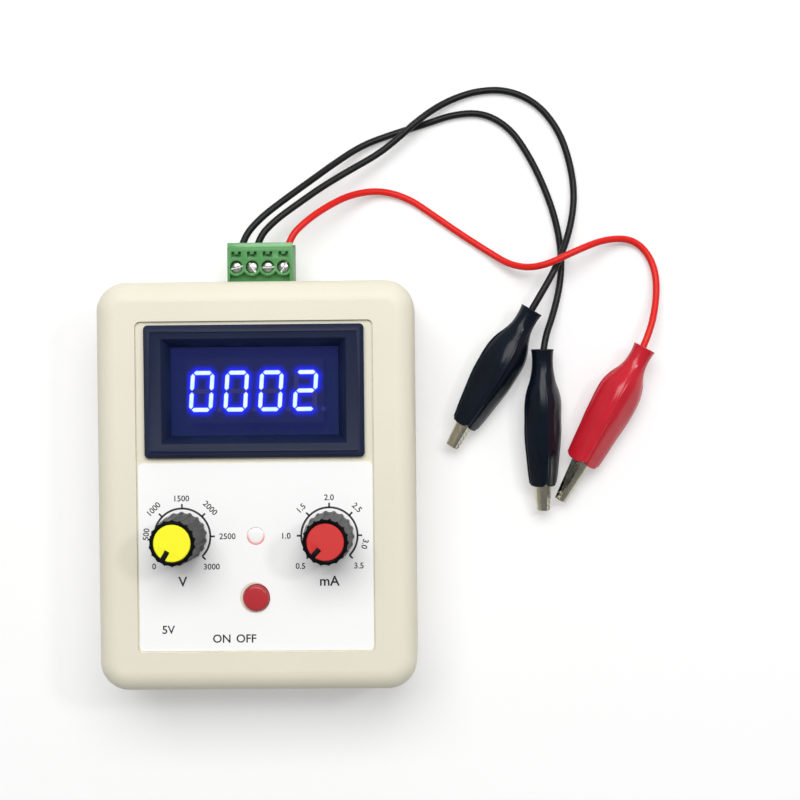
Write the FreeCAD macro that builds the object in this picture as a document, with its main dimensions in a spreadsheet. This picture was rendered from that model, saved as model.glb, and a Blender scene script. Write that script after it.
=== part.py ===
import FreeCAD, Part
import Sketcher
import math
import operator
import os
import types

# Component tester: a flat two-part case with a panel meter, two knobs, a button, and a plug-in
# terminal block with three clip leads. Millimetres. Origin at the middle of the flat back,
# +Y towards the terminal block, +Z out of the front face.

os.makedirs("parts", exist_ok=True)
doc = FreeCAD.newDocument("component_tester")
Vector = FreeCAD.Vector

SIZES = {
    # case
    "case_width": 70.0,
    "case_length": 90.0,
    "case_height": 28.0,
    "case_wall": 2.0,
    "front_panel": 2.5,
    "corner_radius": 6.5,
    "front_edge_radius": 4.5,
    "rear_edge_radius": 3.0,
    "parting_height": 15.0,
    "lip_height": 1.5,
    "lip_thickness": 0.9,
    "seam_chamfer": 0.25,
    "boss_inset": 6.2,
    "boss_radius": 4.0,
    # recess and label
    "recess_border": 2.0,
    "recess_margin": 8.75,
    "recess_depth": 0.8,
    "recess_radius": 1.2,
    "label_gap": 0.35,
    "label_thickness": 0.25,
    # panel meter
    "meter_inset": 24.1,
    "bezel_width": 48.0,
    "bezel_length": 29.0,
    "bezel_height": 2.0,
    "bezel_chamfer": 0.8,
    "window_width": 36.4,
    "window_length": 19.0,
    "window_depth": 2.5,
    "window_bevel": 2.1,
    "window_thickness": 1.2,
    "meter_depth": 15.0,
    "meter_wall": 1.5,
    "display_width": 30.2,
    "display_length": 14.0,
    "display_height": 7.2,
    "digit_height": 9.1,
    "digit_width": 5.3,
    "digit_pitch": 7.6,
    "segment_width": 1.0,
    # circuit board
    "board_level": 8.4,
    "board_thickness": 1.6,
    "board_gap": 1.0,
    "stand_inset": 7.3,
    "stand_radius": 2.8,
    # knobs, potentiometers, lamp and button
    "knob_inset": 9.9,
    "knob_drop": 16.0,
    "knob_base_radius": 5.5,
    "knob_top_radius": 5.0,
    "knob_height": 14.3,
    "knob_gap": 0.45,
    "flute_depth": 0.32,
    "flute_count": 18.0,
    "cap_radius": 3.95,
    "cap_thickness": 0.9,
    "pointer_width": 1.0,
    "pointer_length": 2.3,
    "shaft_radius": 3.0,
    "lamp_radius": 1.85,
    "lamp_gap": 0.1,
    "button_drop": 13.5,
    "button_radius": 2.85,
    "button_gap": 0.15,
    "button_proud": 1.2,
    "film_shift": 0.3,
    # lower end
    "usb_inset": 15.7,
    "usb_width": 8.94,
    "usb_height": 3.26,
    "switch_x": -4.7,
    "switch_travel": 2.0,
    # terminal block
    "terminal_x": 0.7,
    "pole_pitch": 3.5,
    "plug_width": 14.5,
    "plug_reach": 7.7,
    "plug_bottom": 9.4,
    "plug_height": 10.0,
    "clamp_screw_radius": 1.35,
    "wire_level": 12.85,
    # leads and clips
    "lead_diameter": 1.6,
    "jaw_reach": 16.5,
    "jaw_sheet": 0.5,
    "tooth_pitch": 1.1,
    "tooth_depth": 0.6,
    "boot_wall": 0.6,
    "boot_width": 4.7,
    "middle_boot_width": 3.9,
    "black_boot_mouth": 10.5,
    "red_boot_mouth": 6.1,
}


class Size:
    """A number together with the sheet formula it comes from."""

    def __init__(self, number, formula):
        self.number = number
        self.formula = formula

    def __float__(self):
        return self.number

    def __neg__(self):
        return joined(0, "-", self)

    def __add__(self, other):
        return joined(self, "+", other)

    def __radd__(self, other):
        return joined(other, "+", self)

    def __sub__(self, other):
        return joined(self, "-", other)

    def __rsub__(self, other):
        return joined(other, "-", self)

    def __mul__(self, other):
        return joined(self, "*", other)

    def __rmul__(self, other):
        return joined(other, "*", self)

    def __truediv__(self, other):
        return joined(self, "/", other)


SIGNS = {"+": operator.add, "-": operator.sub, "*": operator.mul, "/": operator.truediv}


def as_size(value):
    return value if isinstance(value, Size) else Size(float(value), f"({float(value)})")


def joined(left, sign, right):
    left, right = as_size(left), as_size(right)
    return Size(SIGNS[sign](left.number, right.number), f"({left.formula} {sign} {right.formula})")


def bind(thing, path, value):
    thing.setExpression(path, as_size(value).formula)


sheet = doc.addObject("Spreadsheet::Sheet", "Sizes")
for row, (word, number) in enumerate(SIZES.items(), 1):
    sheet.set(f"A{row}", word)
    sheet.set(f"B{row}", str(number))
    sheet.setAlias(f"B{row}", word)
doc.recompute()
S = types.SimpleNamespace(**{word: Size(float(sheet.get(word)), f"Sizes.{word}") for word in SIZES})


# Solids from primitives

def box(name, x, y, bottom, width, length, height):
    """Block centred on x and y that stands on its bottom level."""
    block = doc.addObject("Part::Box", name)
    bind(block, "Length", width)
    bind(block, "Width", length)
    bind(block, "Height", height)
    bind(block, "Placement.Base.x", x - width / 2)
    bind(block, "Placement.Base.y", y - length / 2)
    bind(block, "Placement.Base.z", bottom)
    return block


def cylinder(name, x, y, bottom, radius, height):
    """Upright round bar that stands on its bottom level."""
    bar = doc.addObject("Part::Cylinder", name)
    bind(bar, "Radius", radius)
    bind(bar, "Height", height)
    bind(bar, "Placement.Base.x", x)
    bind(bar, "Placement.Base.y", y)
    bind(bar, "Placement.Base.z", bottom)
    return bar


def fuse(name, pieces):
    joint = doc.addObject("Part::MultiFuse", name)
    joint.Shapes = pieces
    joint.Refine = True
    return joint


def cut(name, base, tools):
    hollow = doc.addObject("Part::Cut", name)
    hollow.Base = base
    hollow.Tool = tools[0] if len(tools) == 1 else fuse(name + "_tools", tools)
    return hollow


def group(name, pieces):
    """Separate solids that share one file."""
    several = doc.addObject("Part::Compound", name)
    several.Links = pieces
    return several


# Bodies with sketches

def new_body(name, *place):
    """Body at a place tied to the sheet, or at the origin until it is placed."""
    made = doc.addObject("PartDesign::Body", name)
    for axis, value in zip("xyz", place):
        bind(made, f"Placement.Base.{axis}", value)
    return made


def datum(owner, role):
    return next(item for item in owner.Origin.OriginFeatures if item.Role == role)


def new_sketch(owner, name, across=0, up=0, off=0, plane="XY_Plane"):
    """Sketch on an origin plane, with its own origin moved across, up and off the plane."""
    drawn = owner.newObject("Sketcher::SketchObject", name)
    drawn.AttachmentSupport = [(datum(owner, plane), "")]
    drawn.MapMode = "FlatFace"
    for axis, value in zip("xyz", (across, up, off)):
        bind(drawn, f"AttachmentOffset.Base.{axis}", value)
    return drawn


def constrain(drawn, *words):
    return drawn.addConstraint(Sketcher.Constraint(*words))


def dimension(drawn, kind, *where, value):
    index = constrain(drawn, kind, *where, float(value))
    bind(drawn, f"Constraints[{index}]", value)


def circle(drawn, radius):
    ring = drawn.addGeometry(Part.Circle(Vector(), Vector(0, 0, 1), float(radius)), False)
    constrain(drawn, "Coincident", ring, 3, -1, 1)
    dimension(drawn, "Radius", ring, value=radius)


def line(drawn, start, end):
    return drawn.addGeometry(Part.LineSegment(Vector(*start), Vector(*end)), False)


def rectangle(drawn, width, length):
    """Sharp rectangle centred on the sketch origin."""
    w, l = float(width) / 2, float(length) / 2
    ends = [(-w, -l), (w, -l), (w, l), (-w, l)]
    sides = [line(drawn, ends[i], ends[(i + 1) % 4]) for i in range(4)]
    for i in range(4):
        constrain(drawn, "Coincident", sides[i], 2, sides[(i + 1) % 4], 1)
        constrain(drawn, "Vertical" if i % 2 else "Horizontal", sides[i])
    constrain(drawn, "Symmetric", sides[0], 1, sides[2], 1, -1, 1)
    dimension(drawn, "DistanceX", sides[0], 1, sides[0], 2, value=width)
    dimension(drawn, "DistanceY", sides[1], 1, sides[1], 2, value=length)


def rounded(drawn, width, length, radius):
    """Rectangle with round corners, centred on the sketch origin."""
    w, l, r = float(width) / 2, float(length) / 2, float(radius)
    runs = [((r - w, -l), (w - r, -l)), ((w, r - l), (w, l - r)), ((w - r, l), (r - w, l)),
            ((-w, l - r), (-w, r - l))]
    hubs = [(w - r, r - l), (w - r, l - r), (r - w, l - r), (r - w, r - l)]
    sides, corners = [], []
    for i in range(4):
        sides.append(line(drawn, *runs[i]))
        turn = Part.ArcOfCircle(
            Part.Circle(Vector(*hubs[i]), Vector(0, 0, 1), r), (i - 1) * math.pi / 2, i * math.pi / 2)
        corners.append(drawn.addGeometry(turn, False))
    for i in range(4):
        constrain(drawn, "Tangent", sides[i], 2, corners[i], 1)
        constrain(drawn, "Tangent", corners[i], 2, sides[(i + 1) % 4], 1)
        constrain(drawn, "Vertical" if i % 2 else "Horizontal", sides[i])
    for i in range(3):
        constrain(drawn, "Equal", corners[i], corners[i + 1])
    constrain(drawn, "Symmetric", corners[0], 3, corners[2], 3, -1, 1)
    dimension(drawn, "Radius", corners[0], value=radius)
    dimension(drawn, "DistanceX", sides[3], 1, sides[1], 1, value=width)
    dimension(drawn, "DistanceY", sides[0], 1, sides[2], 1, value=length)


def outline(drawn, points):
    """Closed outline through points, each tied to the sketch origin."""
    spots = [(float(x), float(y)) for x, y in points]
    count = len(spots)
    sides = [line(drawn, spots[i], spots[(i + 1) % count]) for i in range(count)]
    for i in range(count):
        constrain(drawn, "Coincident", sides[i], 2, sides[(i + 1) % count], 1)
        for kind, axis, value in (("DistanceX", -2, points[i][0]), ("DistanceY", -1, points[i][1])):
            if float(value) == 0:
                constrain(drawn, "PointOnObject", sides[i], 1, axis)
            else:
                dimension(drawn, kind, -1, 1, sides[i], 1, value=value)


def pad(owner, name, drawn, length, reverse=False):
    raised = owner.newObject("PartDesign::Pad", name)
    raised.Profile = drawn
    bind(raised, "Length", length)
    raised.Reversed = reverse
    return raised


def pocket(owner, name, drawn, depth, reverse=False, both=False):
    sunk = owner.newObject("PartDesign::Pocket", name)
    sunk.Profile = drawn
    bind(sunk, "Length", depth)
    sunk.Reversed = reverse
    if both:
        sunk.SideType = "Symmetric"
    return sunk


def turned(owner, name, points):
    """Solid of revolution about Z from an outline of radius and height."""
    drawn = new_sketch(owner, name + "_profile", plane="XZ_Plane")
    outline(drawn, points)
    spun = owner.newObject("PartDesign::Revolution", name)
    spun.Profile = drawn
    spun.ReferenceAxis = (drawn, ["V_Axis"])
    spun.Angle = 360
    return spun


def primitive(owner, kind, name, x, y, z, **sizes):
    """Additive or subtractive primitive with its corner or base centre at x, y, z."""
    made = owner.newObject("PartDesign::" + kind, name)
    for path, value in sizes.items():
        bind(made, path, value)
    for axis, value in zip("xyz", (x, y, z)):
        bind(made, f"Placement.Base.{axis}", value)
    return made


def block(owner, kind, name, x, y, bottom, width, length, height):
    return primitive(owner, kind + "Box", name, x - width / 2, y - length / 2, bottom,
                     Length=width, Width=length, Height=height)


def bar(owner, kind, name, x, y, z, radius, height, axis=None):
    """Round bar along Z, or along the axis named."""
    made = primitive(owner, kind + "Cylinder", name, x, y, z, Radius=radius, Height=height)
    if axis == "X":
        made.Placement.Rotation = FreeCAD.Rotation(Vector(0, 1, 0), 90)
    elif axis == "Y":
        made.Placement.Rotation = FreeCAD.Rotation(Vector(1, 0, 0), -90)
    return made


def loft(owner, kind, name, sections):
    skin = owner.newObject(f"PartDesign::{kind}Loft", name)
    skin.Profile = sections[0]
    skin.Sections = sections[1:]
    skin.Ruled = True
    return skin


def dress(owner, kind, name, base, chosen, path, value):
    """Fillet or chamfer on the edges of a feature that the test picks."""
    doc.recompute()
    edges = [f"Edge{i}" for i, edge in enumerate(base.Shape.Edges, 1) if chosen(edge.BoundBox)]
    made = owner.newObject("PartDesign::" + kind, name)
    made.Base = (base, edges)
    bind(made, path, value)
    return made


def flat_at(level):
    """Test for edges that lie in one level plane."""
    height = float(level)
    return lambda b: abs(b.ZMin - height) < 0.01 and abs(b.ZMax - height) < 0.01


parts = {}


def keep(name, made):
    made.Label = name
    parts[name] = made
    return made


# Levels and places that several pieces share
panel_level = S.case_height - S.recess_depth
label_level = panel_level + S.label_thickness
ceiling_level = S.case_height - S.front_panel
board_top = S.board_level + S.board_thickness
end_y = S.case_length / 2
cavity_width = S.case_width - 2 * S.case_wall
cavity_length = S.case_length - 2 * S.case_wall
cavity_radius = S.corner_radius - S.case_wall
boss_x = S.case_width / 2 - S.boss_inset
boss_y = end_y - S.boss_inset
recess_width = S.bezel_width + 2 * S.recess_border
recess_length = S.case_length - 2 * S.recess_margin
meter_y = end_y - S.meter_inset
usb_x = S.usb_inset - S.case_width / 2
meter_body_width = S.bezel_width - 3.4
meter_body_length = S.bezel_length - 3.4
label_top = meter_y - S.bezel_length / 2 - 3.4 * S.label_gap
label_bottom = S.label_gap - recess_length / 2
label_y = (label_top + label_bottom) / 2
knob_x = recess_width / 2 - S.knob_inset
knob_y = label_top - S.knob_drop
button_y = knob_y - S.button_drop
corners = [(i, j) for i in (-1, 1) for j in (-1, 1)]
screw_y = end_y + S.plug_reach - 4.2
poles = [S.terminal_x + (i - 1.5) * S.pole_pitch for i in range(4)]

# Front cover
cover = new_body("front_cover")
shell = new_sketch(cover, "front_shell", off=S.parting_height)
rounded(shell, S.case_width, S.case_length, S.corner_radius)
front_height = S.case_height - S.parting_height
shell_pad = pad(cover, "front_block", shell, front_height)
edge = dress(cover, "Fillet", "front_edge", shell_pad, flat_at(S.case_height), "Radius",
             S.front_edge_radius)
edge = dress(cover, "Chamfer", "front_seam", edge, flat_at(S.parting_height), "Size", S.seam_chamfer)
hollow = new_sketch(cover, "front_cavity", off=S.parting_height)
rounded(hollow, cavity_width, cavity_length, cavity_radius)
pocket(cover, "front_hollow", hollow, ceiling_level - S.parting_height, reverse=True)
rebate = new_sketch(cover, "lip_rebate", off=S.parting_height)
lip_room = S.lip_thickness + 0.1
rounded(rebate, cavity_width + 2 * lip_room, cavity_length + 2 * lip_room, cavity_radius + lip_room)
pocket(cover, "front_rebate", rebate, S.lip_height + 0.2, reverse=True)
recess = new_sketch(cover, "face_recess", off=S.case_height)
rounded(recess, recess_width, recess_length, S.recess_radius)
pocket(cover, "front_recess", recess, S.recess_depth)
meter_hole = new_sketch(cover, "meter_opening", up=meter_y, off=S.case_height)
rounded(meter_hole, meter_body_width + 0.5, meter_body_length + 0.5, 0.8)
pocket(cover, "meter_cutout", meter_hole, S.front_panel + 1)
face_holes = [("left_shaft", -knob_x, knob_y, S.shaft_radius + 0.6),
              ("right_shaft", knob_x, knob_y, S.shaft_radius + 0.6),
              ("lamp", 0, knob_y, S.lamp_radius + S.lamp_gap),
              ("button", 0, button_y, S.button_radius + S.button_gap)]
for word, x, y, radius in face_holes:
    hole = new_sketch(cover, word + "_hole", across=x, up=y, off=S.case_height)
    circle(hole, radius)
    pocket(cover, word + "_drilling", hole, S.front_panel + 1)
for n, (i, j) in enumerate(corners, 1):
    post = new_sketch(cover, f"front_post_{n}", across=i * boss_x, up=j * boss_y, off=S.parting_height)
    circle(post, S.boss_radius - 0.5)
    pad(cover, f"front_boss_{n}", post, ceiling_level - S.parting_height + 0.2)
    pilot = new_sketch(cover, f"front_pilot_{n}", across=i * boss_x, up=j * boss_y, off=S.parting_height)
    circle(pilot, 1.45)
    pocket(cover, f"front_thread_{n}", pilot, front_height * 0.65, reverse=True)
header_width = 4 * S.pole_pitch + 1.8
header_height = 8.2
block(cover, "Subtractive", "front_terminal_gap", S.terminal_x, end_y - 1, board_top - 2,
      header_width + 0.3, 3 * S.case_wall, header_height + 2.15)
keep("front_cover", cover)

# Rear cover
tray = new_body("rear_cover")
base = new_sketch(tray, "rear_shell")
rounded(base, S.case_width, S.case_length, S.corner_radius)
base_pad = pad(tray, "rear_block", base, S.parting_height)
edge = dress(tray, "Fillet", "rear_edge", base_pad, flat_at(0), "Radius", S.rear_edge_radius)
edge = dress(tray, "Chamfer", "rear_seam", edge, flat_at(S.parting_height), "Size", S.seam_chamfer)
hollow = new_sketch(tray, "rear_cavity", off=S.parting_height)
rounded(hollow, cavity_width, cavity_length, cavity_radius)
pocket(tray, "rear_hollow", hollow, S.parting_height - S.case_wall)
lip = new_sketch(tray, "lip_ring", off=S.parting_height)
rounded(lip, cavity_width + 2 * S.lip_thickness, cavity_length + 2 * S.lip_thickness,
        cavity_radius + S.lip_thickness)
rounded(lip, cavity_width, cavity_length, cavity_radius)
pad(tray, "rear_lip", lip, S.lip_height)
stand_x = S.case_width / 2 - S.stand_inset
stand_ys = [meter_y, -(end_y - 17)]
stands = [(i * stand_x, y) for i in (-1, 1) for y in stand_ys]
for n, (i, j) in enumerate(corners, 1):
    post = new_sketch(tray, f"rear_post_{n}", across=i * boss_x, up=j * boss_y, off=S.case_wall / 2)
    circle(post, S.boss_radius)
    pad(tray, f"rear_boss_{n}", post, S.parting_height - S.case_wall / 2)
for n, (x, y) in enumerate(stands, 1):
    post = new_sketch(tray, f"board_post_{n}", across=x, up=y, off=S.case_wall / 2)
    circle(post, S.stand_radius)
    pad(tray, f"board_stand_{n}", post, S.board_level - S.case_wall / 2)
    pilot = new_sketch(tray, f"board_pilot_{n}", across=x, up=y, off=S.board_level)
    circle(pilot, 1.1)
    pocket(tray, f"board_thread_{n}", pilot, S.board_level - S.case_wall - 0.4)
for n, (i, j) in enumerate(corners, 1):
    bar(tray, "Subtractive", f"screw_bore_{n}", i * boss_x, j * boss_y, -1, 1.6, S.parting_height + 3)
    bar(tray, "Subtractive", f"screw_seat_{n}", i * boss_x, j * boss_y, -1, 2.95, 4.2)
usb_slot = new_sketch(tray, "usb_slot", across=usb_x, up=board_top + S.usb_height / 2, off=end_y,
                      plane="XZ_Plane")
rounded(usb_slot, S.usb_width + 0.7, S.usb_height + 0.7, S.usb_height / 2)
pocket(tray, "usb_opening", usb_slot, 2 * S.case_wall + 2, both=True)
slide_level = board_top + 1.0
slider_width = 1.8
slide_x = S.switch_x + S.switch_travel / 2
slide_slot = new_sketch(tray, "slide_slot", across=slide_x, up=slide_level + 0.8, off=end_y,
                        plane="XZ_Plane")
rounded(slide_slot, slider_width + S.switch_travel + 1.4, 3.2, 0.5)
pocket(tray, "slide_opening", slide_slot, 2 * S.case_wall + 2, both=True)
block(tray, "Subtractive", "rear_terminal_gap", S.terminal_x, end_y - 1, board_top - 0.15,
      header_width + 0.3, 3 * S.case_wall, S.parting_height)
keep("rear_cover", tray)


def screw(name, head_radius, head_height, shank_radius, shank_length, x, y, z, down):
    """Pan-head screw with a crossed recess, its head bearing at level z."""
    made = new_body(name, x, y, z)
    turned(made, name + "_blank", [(0, -shank_length), (shank_radius * 0.5, -shank_length),
                                   (shank_radius, -shank_length + 1), (shank_radius, 0), (head_radius, 0),
                                   (head_radius, head_height * 0.5), (head_radius * 0.7,
                                                                      head_height), (0, head_height)])
    for word, wide, long in (("a", 0.7, head_radius * 1.1), ("b", head_radius * 1.1, 0.7)):
        block(made, "Subtractive", f"{name}_{word}", 0, 0, head_height * 0.5, wide, long, head_height)
    if down:
        made.Placement.Rotation = FreeCAD.Rotation(Vector(1, 0, 0), 180)
    return made


case_screws = [screw(f"case_screw_{n}", 2.7, 2.0, 1.4, S.parting_height + 4, i * boss_x, j * boss_y,
                     3.2, True)
               for n, (i, j) in enumerate(corners, 1)]
keep("case_screws", group("case_screws", case_screws))

# Film label with holes for the controls; the one for the button is wide and a little to the left
film_holes = face_holes[:-1]
film_holes.append(("button", -S.film_shift, button_y, S.button_radius + S.button_gap + S.film_shift))
film = new_body("front_label")
sheet_outline = new_sketch(film, "label_outline", up=label_y, off=panel_level)
rounded(sheet_outline, recess_width - 2 * S.label_gap, label_top - label_bottom, 1.0)
pad(film, "label_film", sheet_outline, S.label_thickness)
for word, x, y, radius in film_holes:
    hole = new_sketch(film, word + "_window", across=x, up=y, off=label_level)
    circle(hole, radius)
    pocket(film, word + "_clearance", hole, S.label_thickness + 0.5)
keep("front_label", film)

# Panel meter: bezel with its housing, window, display, board
bezel_level = panel_level + S.bezel_height
window_level = bezel_level - S.window_depth
bezel = new_body("meter_bezel")
flange = new_sketch(bezel, "flange_outline", up=meter_y, off=panel_level)
rounded(flange, S.bezel_width, S.bezel_length, 0.9)
flange_pad = pad(bezel, "flange", flange, S.bezel_height)
dress(bezel, "Chamfer", "flange_edge", flange_pad, flat_at(bezel_level), "Size", S.bezel_chamfer)
tub = new_sketch(bezel, "housing_outline", up=meter_y, off=panel_level + 0.5)
rectangle(tub, meter_body_width, meter_body_length)
pad(bezel, "housing", tub, S.meter_depth + 0.5, reverse=True)
well = new_sketch(bezel, "housing_cavity", up=meter_y, off=window_level)
well_width = meter_body_width - 2 * S.meter_wall
well_length = meter_body_length - 2 * S.meter_wall
rectangle(well, well_width, well_length)
pocket(bezel, "housing_hollow", well, S.meter_depth + 3)
narrow = new_sketch(bezel, "window_foot", up=meter_y, off=window_level - 0.2)
rectangle(narrow, S.window_width, S.window_length)
wide = new_sketch(bezel, "window_rim", up=meter_y, off=bezel_level + 0.2)
rectangle(wide, S.window_width + 2 * S.window_bevel, S.window_length + 2 * S.window_bevel)
loft(bezel, "Subtractive", "window_opening", [narrow, wide])
for word, side in (("upper", 1), ("lower", -1)):
    block(bezel, "Additive", word + "_ridge", 0, meter_y + side * (S.bezel_length / 2 - 1.5),
          bezel_level - 0.3,
          S.bezel_width - 3, 0.35, 0.42)
for word, side in (("left", -1), ("right", 1)):
    block(bezel, "Additive", word + "_latch", side * meter_body_width / 2, meter_y, ceiling_level - 3.1,
          1.5, 7, 3)
keep("meter_bezel", bezel)

window = box("meter_window", 0, meter_y, window_level - S.window_thickness,
             well_width - 0.3, well_length - 0.3, S.window_thickness)
keep("meter_window", window)
display_top = window_level - S.window_thickness - 0.2
display = box("meter_display", 0, meter_y, display_top - S.display_height,
              S.display_width, S.display_length, S.display_height)
keep("meter_display", display)
meter_board_level = display_top - S.display_height - 1.2
keep("meter_board", box("meter_board", 0, meter_y, meter_board_level, well_width - 0.3,
                        well_length - 0.3, 1.2))

# Segments of the digits a to g, as bars with pointed ends, and the decimal points
LIT = ["abcdef", "abcdef", "abcdef", "abdeg"]
SLANT = math.tan(math.radians(4))


def segment(word, x0, y0):
    """One bar of a digit centred on x0, y0."""
    t = float(S.segment_width)
    w, h = float(S.digit_width) - t, float(S.digit_height) - t
    gap = 0.12
    lying = {"a": h / 2, "g": 0.0, "d": -h / 2}
    upright = {"b": (w / 2, h / 4), "c": (w / 2, -h / 4), "e": (-w / 2, -h / 4), "f": (-w / 2, h / 4)}
    if word in lying:
        y, r = lying[word], w / 2 - gap
        spots = [(-r, y), (t / 2 - r, y + t / 2), (r - t / 2, y + t / 2), (r, y),
                 (r - t / 2, y - t / 2), (t / 2 - r, y - t / 2)]
    else:
        (x, y), r = upright[word], h / 4 - gap
        spots = [(x, y - r), (x + t / 2, y + t / 2 - r), (x + t / 2, y + r - t / 2), (x, y + r),
                 (x - t / 2, y + r - t / 2),
                 (x - t / 2, y + t / 2 - r)]
    level = float(display_top)
    loop = [Vector(x0 + x + SLANT * y, y0 + y, level) for x, y in spots]
    return Part.Face(Part.makePolygon(loop + loop[:1])).extrude(Vector(0, 0, 0.12))


lit, dark = [], []
for place, shown in enumerate(LIT):
    x0 = float((place - 1.5) * S.digit_pitch) - 0.35
    for word in "abcdefg":
        (lit if word in shown else dark).append(segment(word, x0, float(meter_y)))
    dot = Vector(x0 + float(S.digit_pitch) / 2 + 0.1,
                 float(meter_y - S.digit_height / 2 + S.segment_width / 2), float(display_top))
    dark.append(Part.makeCylinder(float(S.segment_width) / 2, 0.12, dot))
for name, solids in (("lit_segments", lit), ("dark_segments", dark)):
    bars = doc.addObject("Part::Feature", name)
    bars.Shape = Part.makeCompound(solids)
    keep(name, bars)

# Circuit board with an opening for the meter and cut corners
board_width = cavity_width - 2 * S.board_gap
board_length = cavity_length - 2 * S.board_gap
board = new_body("main_board")
plan = new_sketch(board, "board_outline", off=S.board_level)
rectangle(plan, board_width, board_length)
pad(board, "board_sheet", plan, S.board_thickness)
opening = new_sketch(board, "board_opening", up=meter_y, off=board_top)
rounded(opening, meter_body_width + 0.7, meter_body_length + 0.7, 1.0)
pocket(board, "board_window", opening, 2 * S.board_thickness)
notch = 2 * (S.boss_radius + 0.6)
for n, (i, j) in enumerate(corners, 1):
    block(board, "Subtractive", f"board_corner_{n}", i * (boss_x + 2), j * (boss_y + 2), S.board_level - 1,
          notch + 4, notch + 4, S.board_thickness + 2)
for n, (x, y) in enumerate(stands, 1):
    bar(board, "Subtractive", f"board_hole_{n}", x, y, S.board_level - 1, 1.35, S.board_thickness + 2)
header_back = end_y - 9.0
pin_y = header_back - 0.7
for n, x in enumerate(poles, 1):
    block(board, "Subtractive", f"pin_hole_{n}", x, pin_y, S.board_level - 1, 1.1, 1.1,
          S.board_thickness + 2)
for n, side in enumerate((-1, 1), 1):
    block(board, "Subtractive", f"lamp_hole_{n}", side * 1.27, knob_y, S.board_level - 1, 0.8, 0.8,
          S.board_thickness + 2)
    for k in (-1, 0, 1):
        block(board, "Subtractive", f"pot_hole_{n}_{k + 2}", side * knob_x + k * 2.5, knob_y - 6.6,
              S.board_level - 1,
              1.2, 0.8, S.board_thickness + 2)
keep("main_board", board)
board_screws = [screw(f"board_screw_{n}", 2.2, 1.5, 1.0, 5.5, x, y, board_top, False)
                for n, (x, y) in enumerate(stands, 1)]
keep("board_screws", group("board_screws", board_screws))

# Potentiometers, shafts, knobs and caps
knob_level = label_level + S.knob_gap
knob_top = knob_level + S.knob_height
shaft_foot = board_top + 1.6
shaft_top = knob_top - 3.5
pot_width = 9.8
for word, side, pointer_turn in (("voltage", -1, 240.0), ("current", 1, 228.0)):
    x = side * knob_x
    solids = [box(f"{word}_pot_block", x, knob_y, board_top, pot_width, 11.4, 6.6),
              cylinder(f"{word}_pot_collar", x, knob_y, board_top + 6.4, 3.45, 2.2)]
    for k in (-1, 0, 1):
        leg = x + k * 2.5
        solids.append(box(f"{word}_pot_pin_{k + 2}", leg, knob_y - 6.6, S.board_level - 1,
                          0.8, 0.4, S.board_thickness + 3))
        solids.append(box(f"{word}_pot_lug_{k + 2}", leg, knob_y - 6.1, board_top + 1, 0.8, 1.4, 1))
    can = fuse(f"{word}_pot_can", solids)
    bore = cylinder(f"{word}_pot_bore", x, knob_y, shaft_foot - 0.1, S.shaft_radius + 0.06,
                    shaft_top - shaft_foot)
    keep(f"{word}_pot", cut(f"{word}_pot", can, [bore]))
    rod = cylinder(f"{word}_shaft_rod", x, knob_y, shaft_foot, S.shaft_radius, shaft_top - shaft_foot)
    slit = box(f"{word}_shaft_slit", x, knob_y, shaft_top - 7, 1.0, 8, 8)
    keep(f"{word}_pot_shaft", cut(f"{word}_pot_shaft", rod, [slit]))
    knob = new_body(f"{word}_knob", x, knob_y, knob_level)
    turned(knob, f"{word}_knob_blank",
           [(0, 0), (S.knob_base_radius, 0), (S.knob_top_radius, S.knob_height - 0.3),
            (S.knob_top_radius - 0.3, S.knob_height), (0, S.knob_height)])
    hub = S.knob_base_radius + 0.75
    flute = primitive(knob, "SubtractiveCone", f"{word}_flute", hub, 0, -0.5,
                      Radius1=hub - S.knob_base_radius + S.flute_depth,
                      Radius2=hub - S.knob_top_radius + S.flute_depth,
                      Height=S.knob_height + 1)
    ring = knob.newObject("PartDesign::PolarPattern", f"{word}_flutes")
    ring.Originals = [flute]
    ring.Axis = (datum(knob, "Z_Axis"), [""])
    ring.Angle = 360
    bind(ring, "Occurrences", S.flute_count)
    knob.Tip = ring
    socket = new_sketch(knob, f"{word}_socket", off=0)
    circle(socket, S.shaft_radius + 0.03)
    pocket(knob, f"{word}_bore", socket, shaft_top - knob_level + 0.3, reverse=True)
    seat = new_sketch(knob, f"{word}_seat", off=S.knob_height)
    circle(seat, S.cap_radius + 0.05)
    pocket(knob, f"{word}_cap_seat", seat, S.cap_thickness)
    rib_x = S.cap_radius + 0.3 - S.pointer_length / 2
    block(knob, "Additive", f"{word}_pointer", rib_x, 0, S.knob_height - S.cap_thickness - 0.2,
          S.pointer_length, S.pointer_width, S.cap_thickness + 0.2)
    knob.Placement.Rotation = FreeCAD.Rotation(Vector(0, 0, 1), pointer_turn)
    keep(f"{word}_knob", knob)
    cap = new_body(f"{word}_knob_cap", x, knob_y, knob_top - S.cap_thickness)
    turned(cap, f"{word}_cap_disc", [(0, 0), (S.cap_radius, 0), (S.cap_radius, S.cap_thickness),
                                     (S.cap_radius - 0.2, S.cap_thickness + 0.15),
                                     (0, S.cap_thickness + 0.15)])
    block(cap, "Subtractive", f"{word}_cap_notch", rib_x + 0.5, 0, -1, S.pointer_length + 1.1,
          S.pointer_width + 0.1, 4)
    cap.Placement.Rotation = FreeCAD.Rotation(Vector(0, 0, 1), pointer_turn)
    keep(f"{word}_knob_cap", cap)

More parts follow.
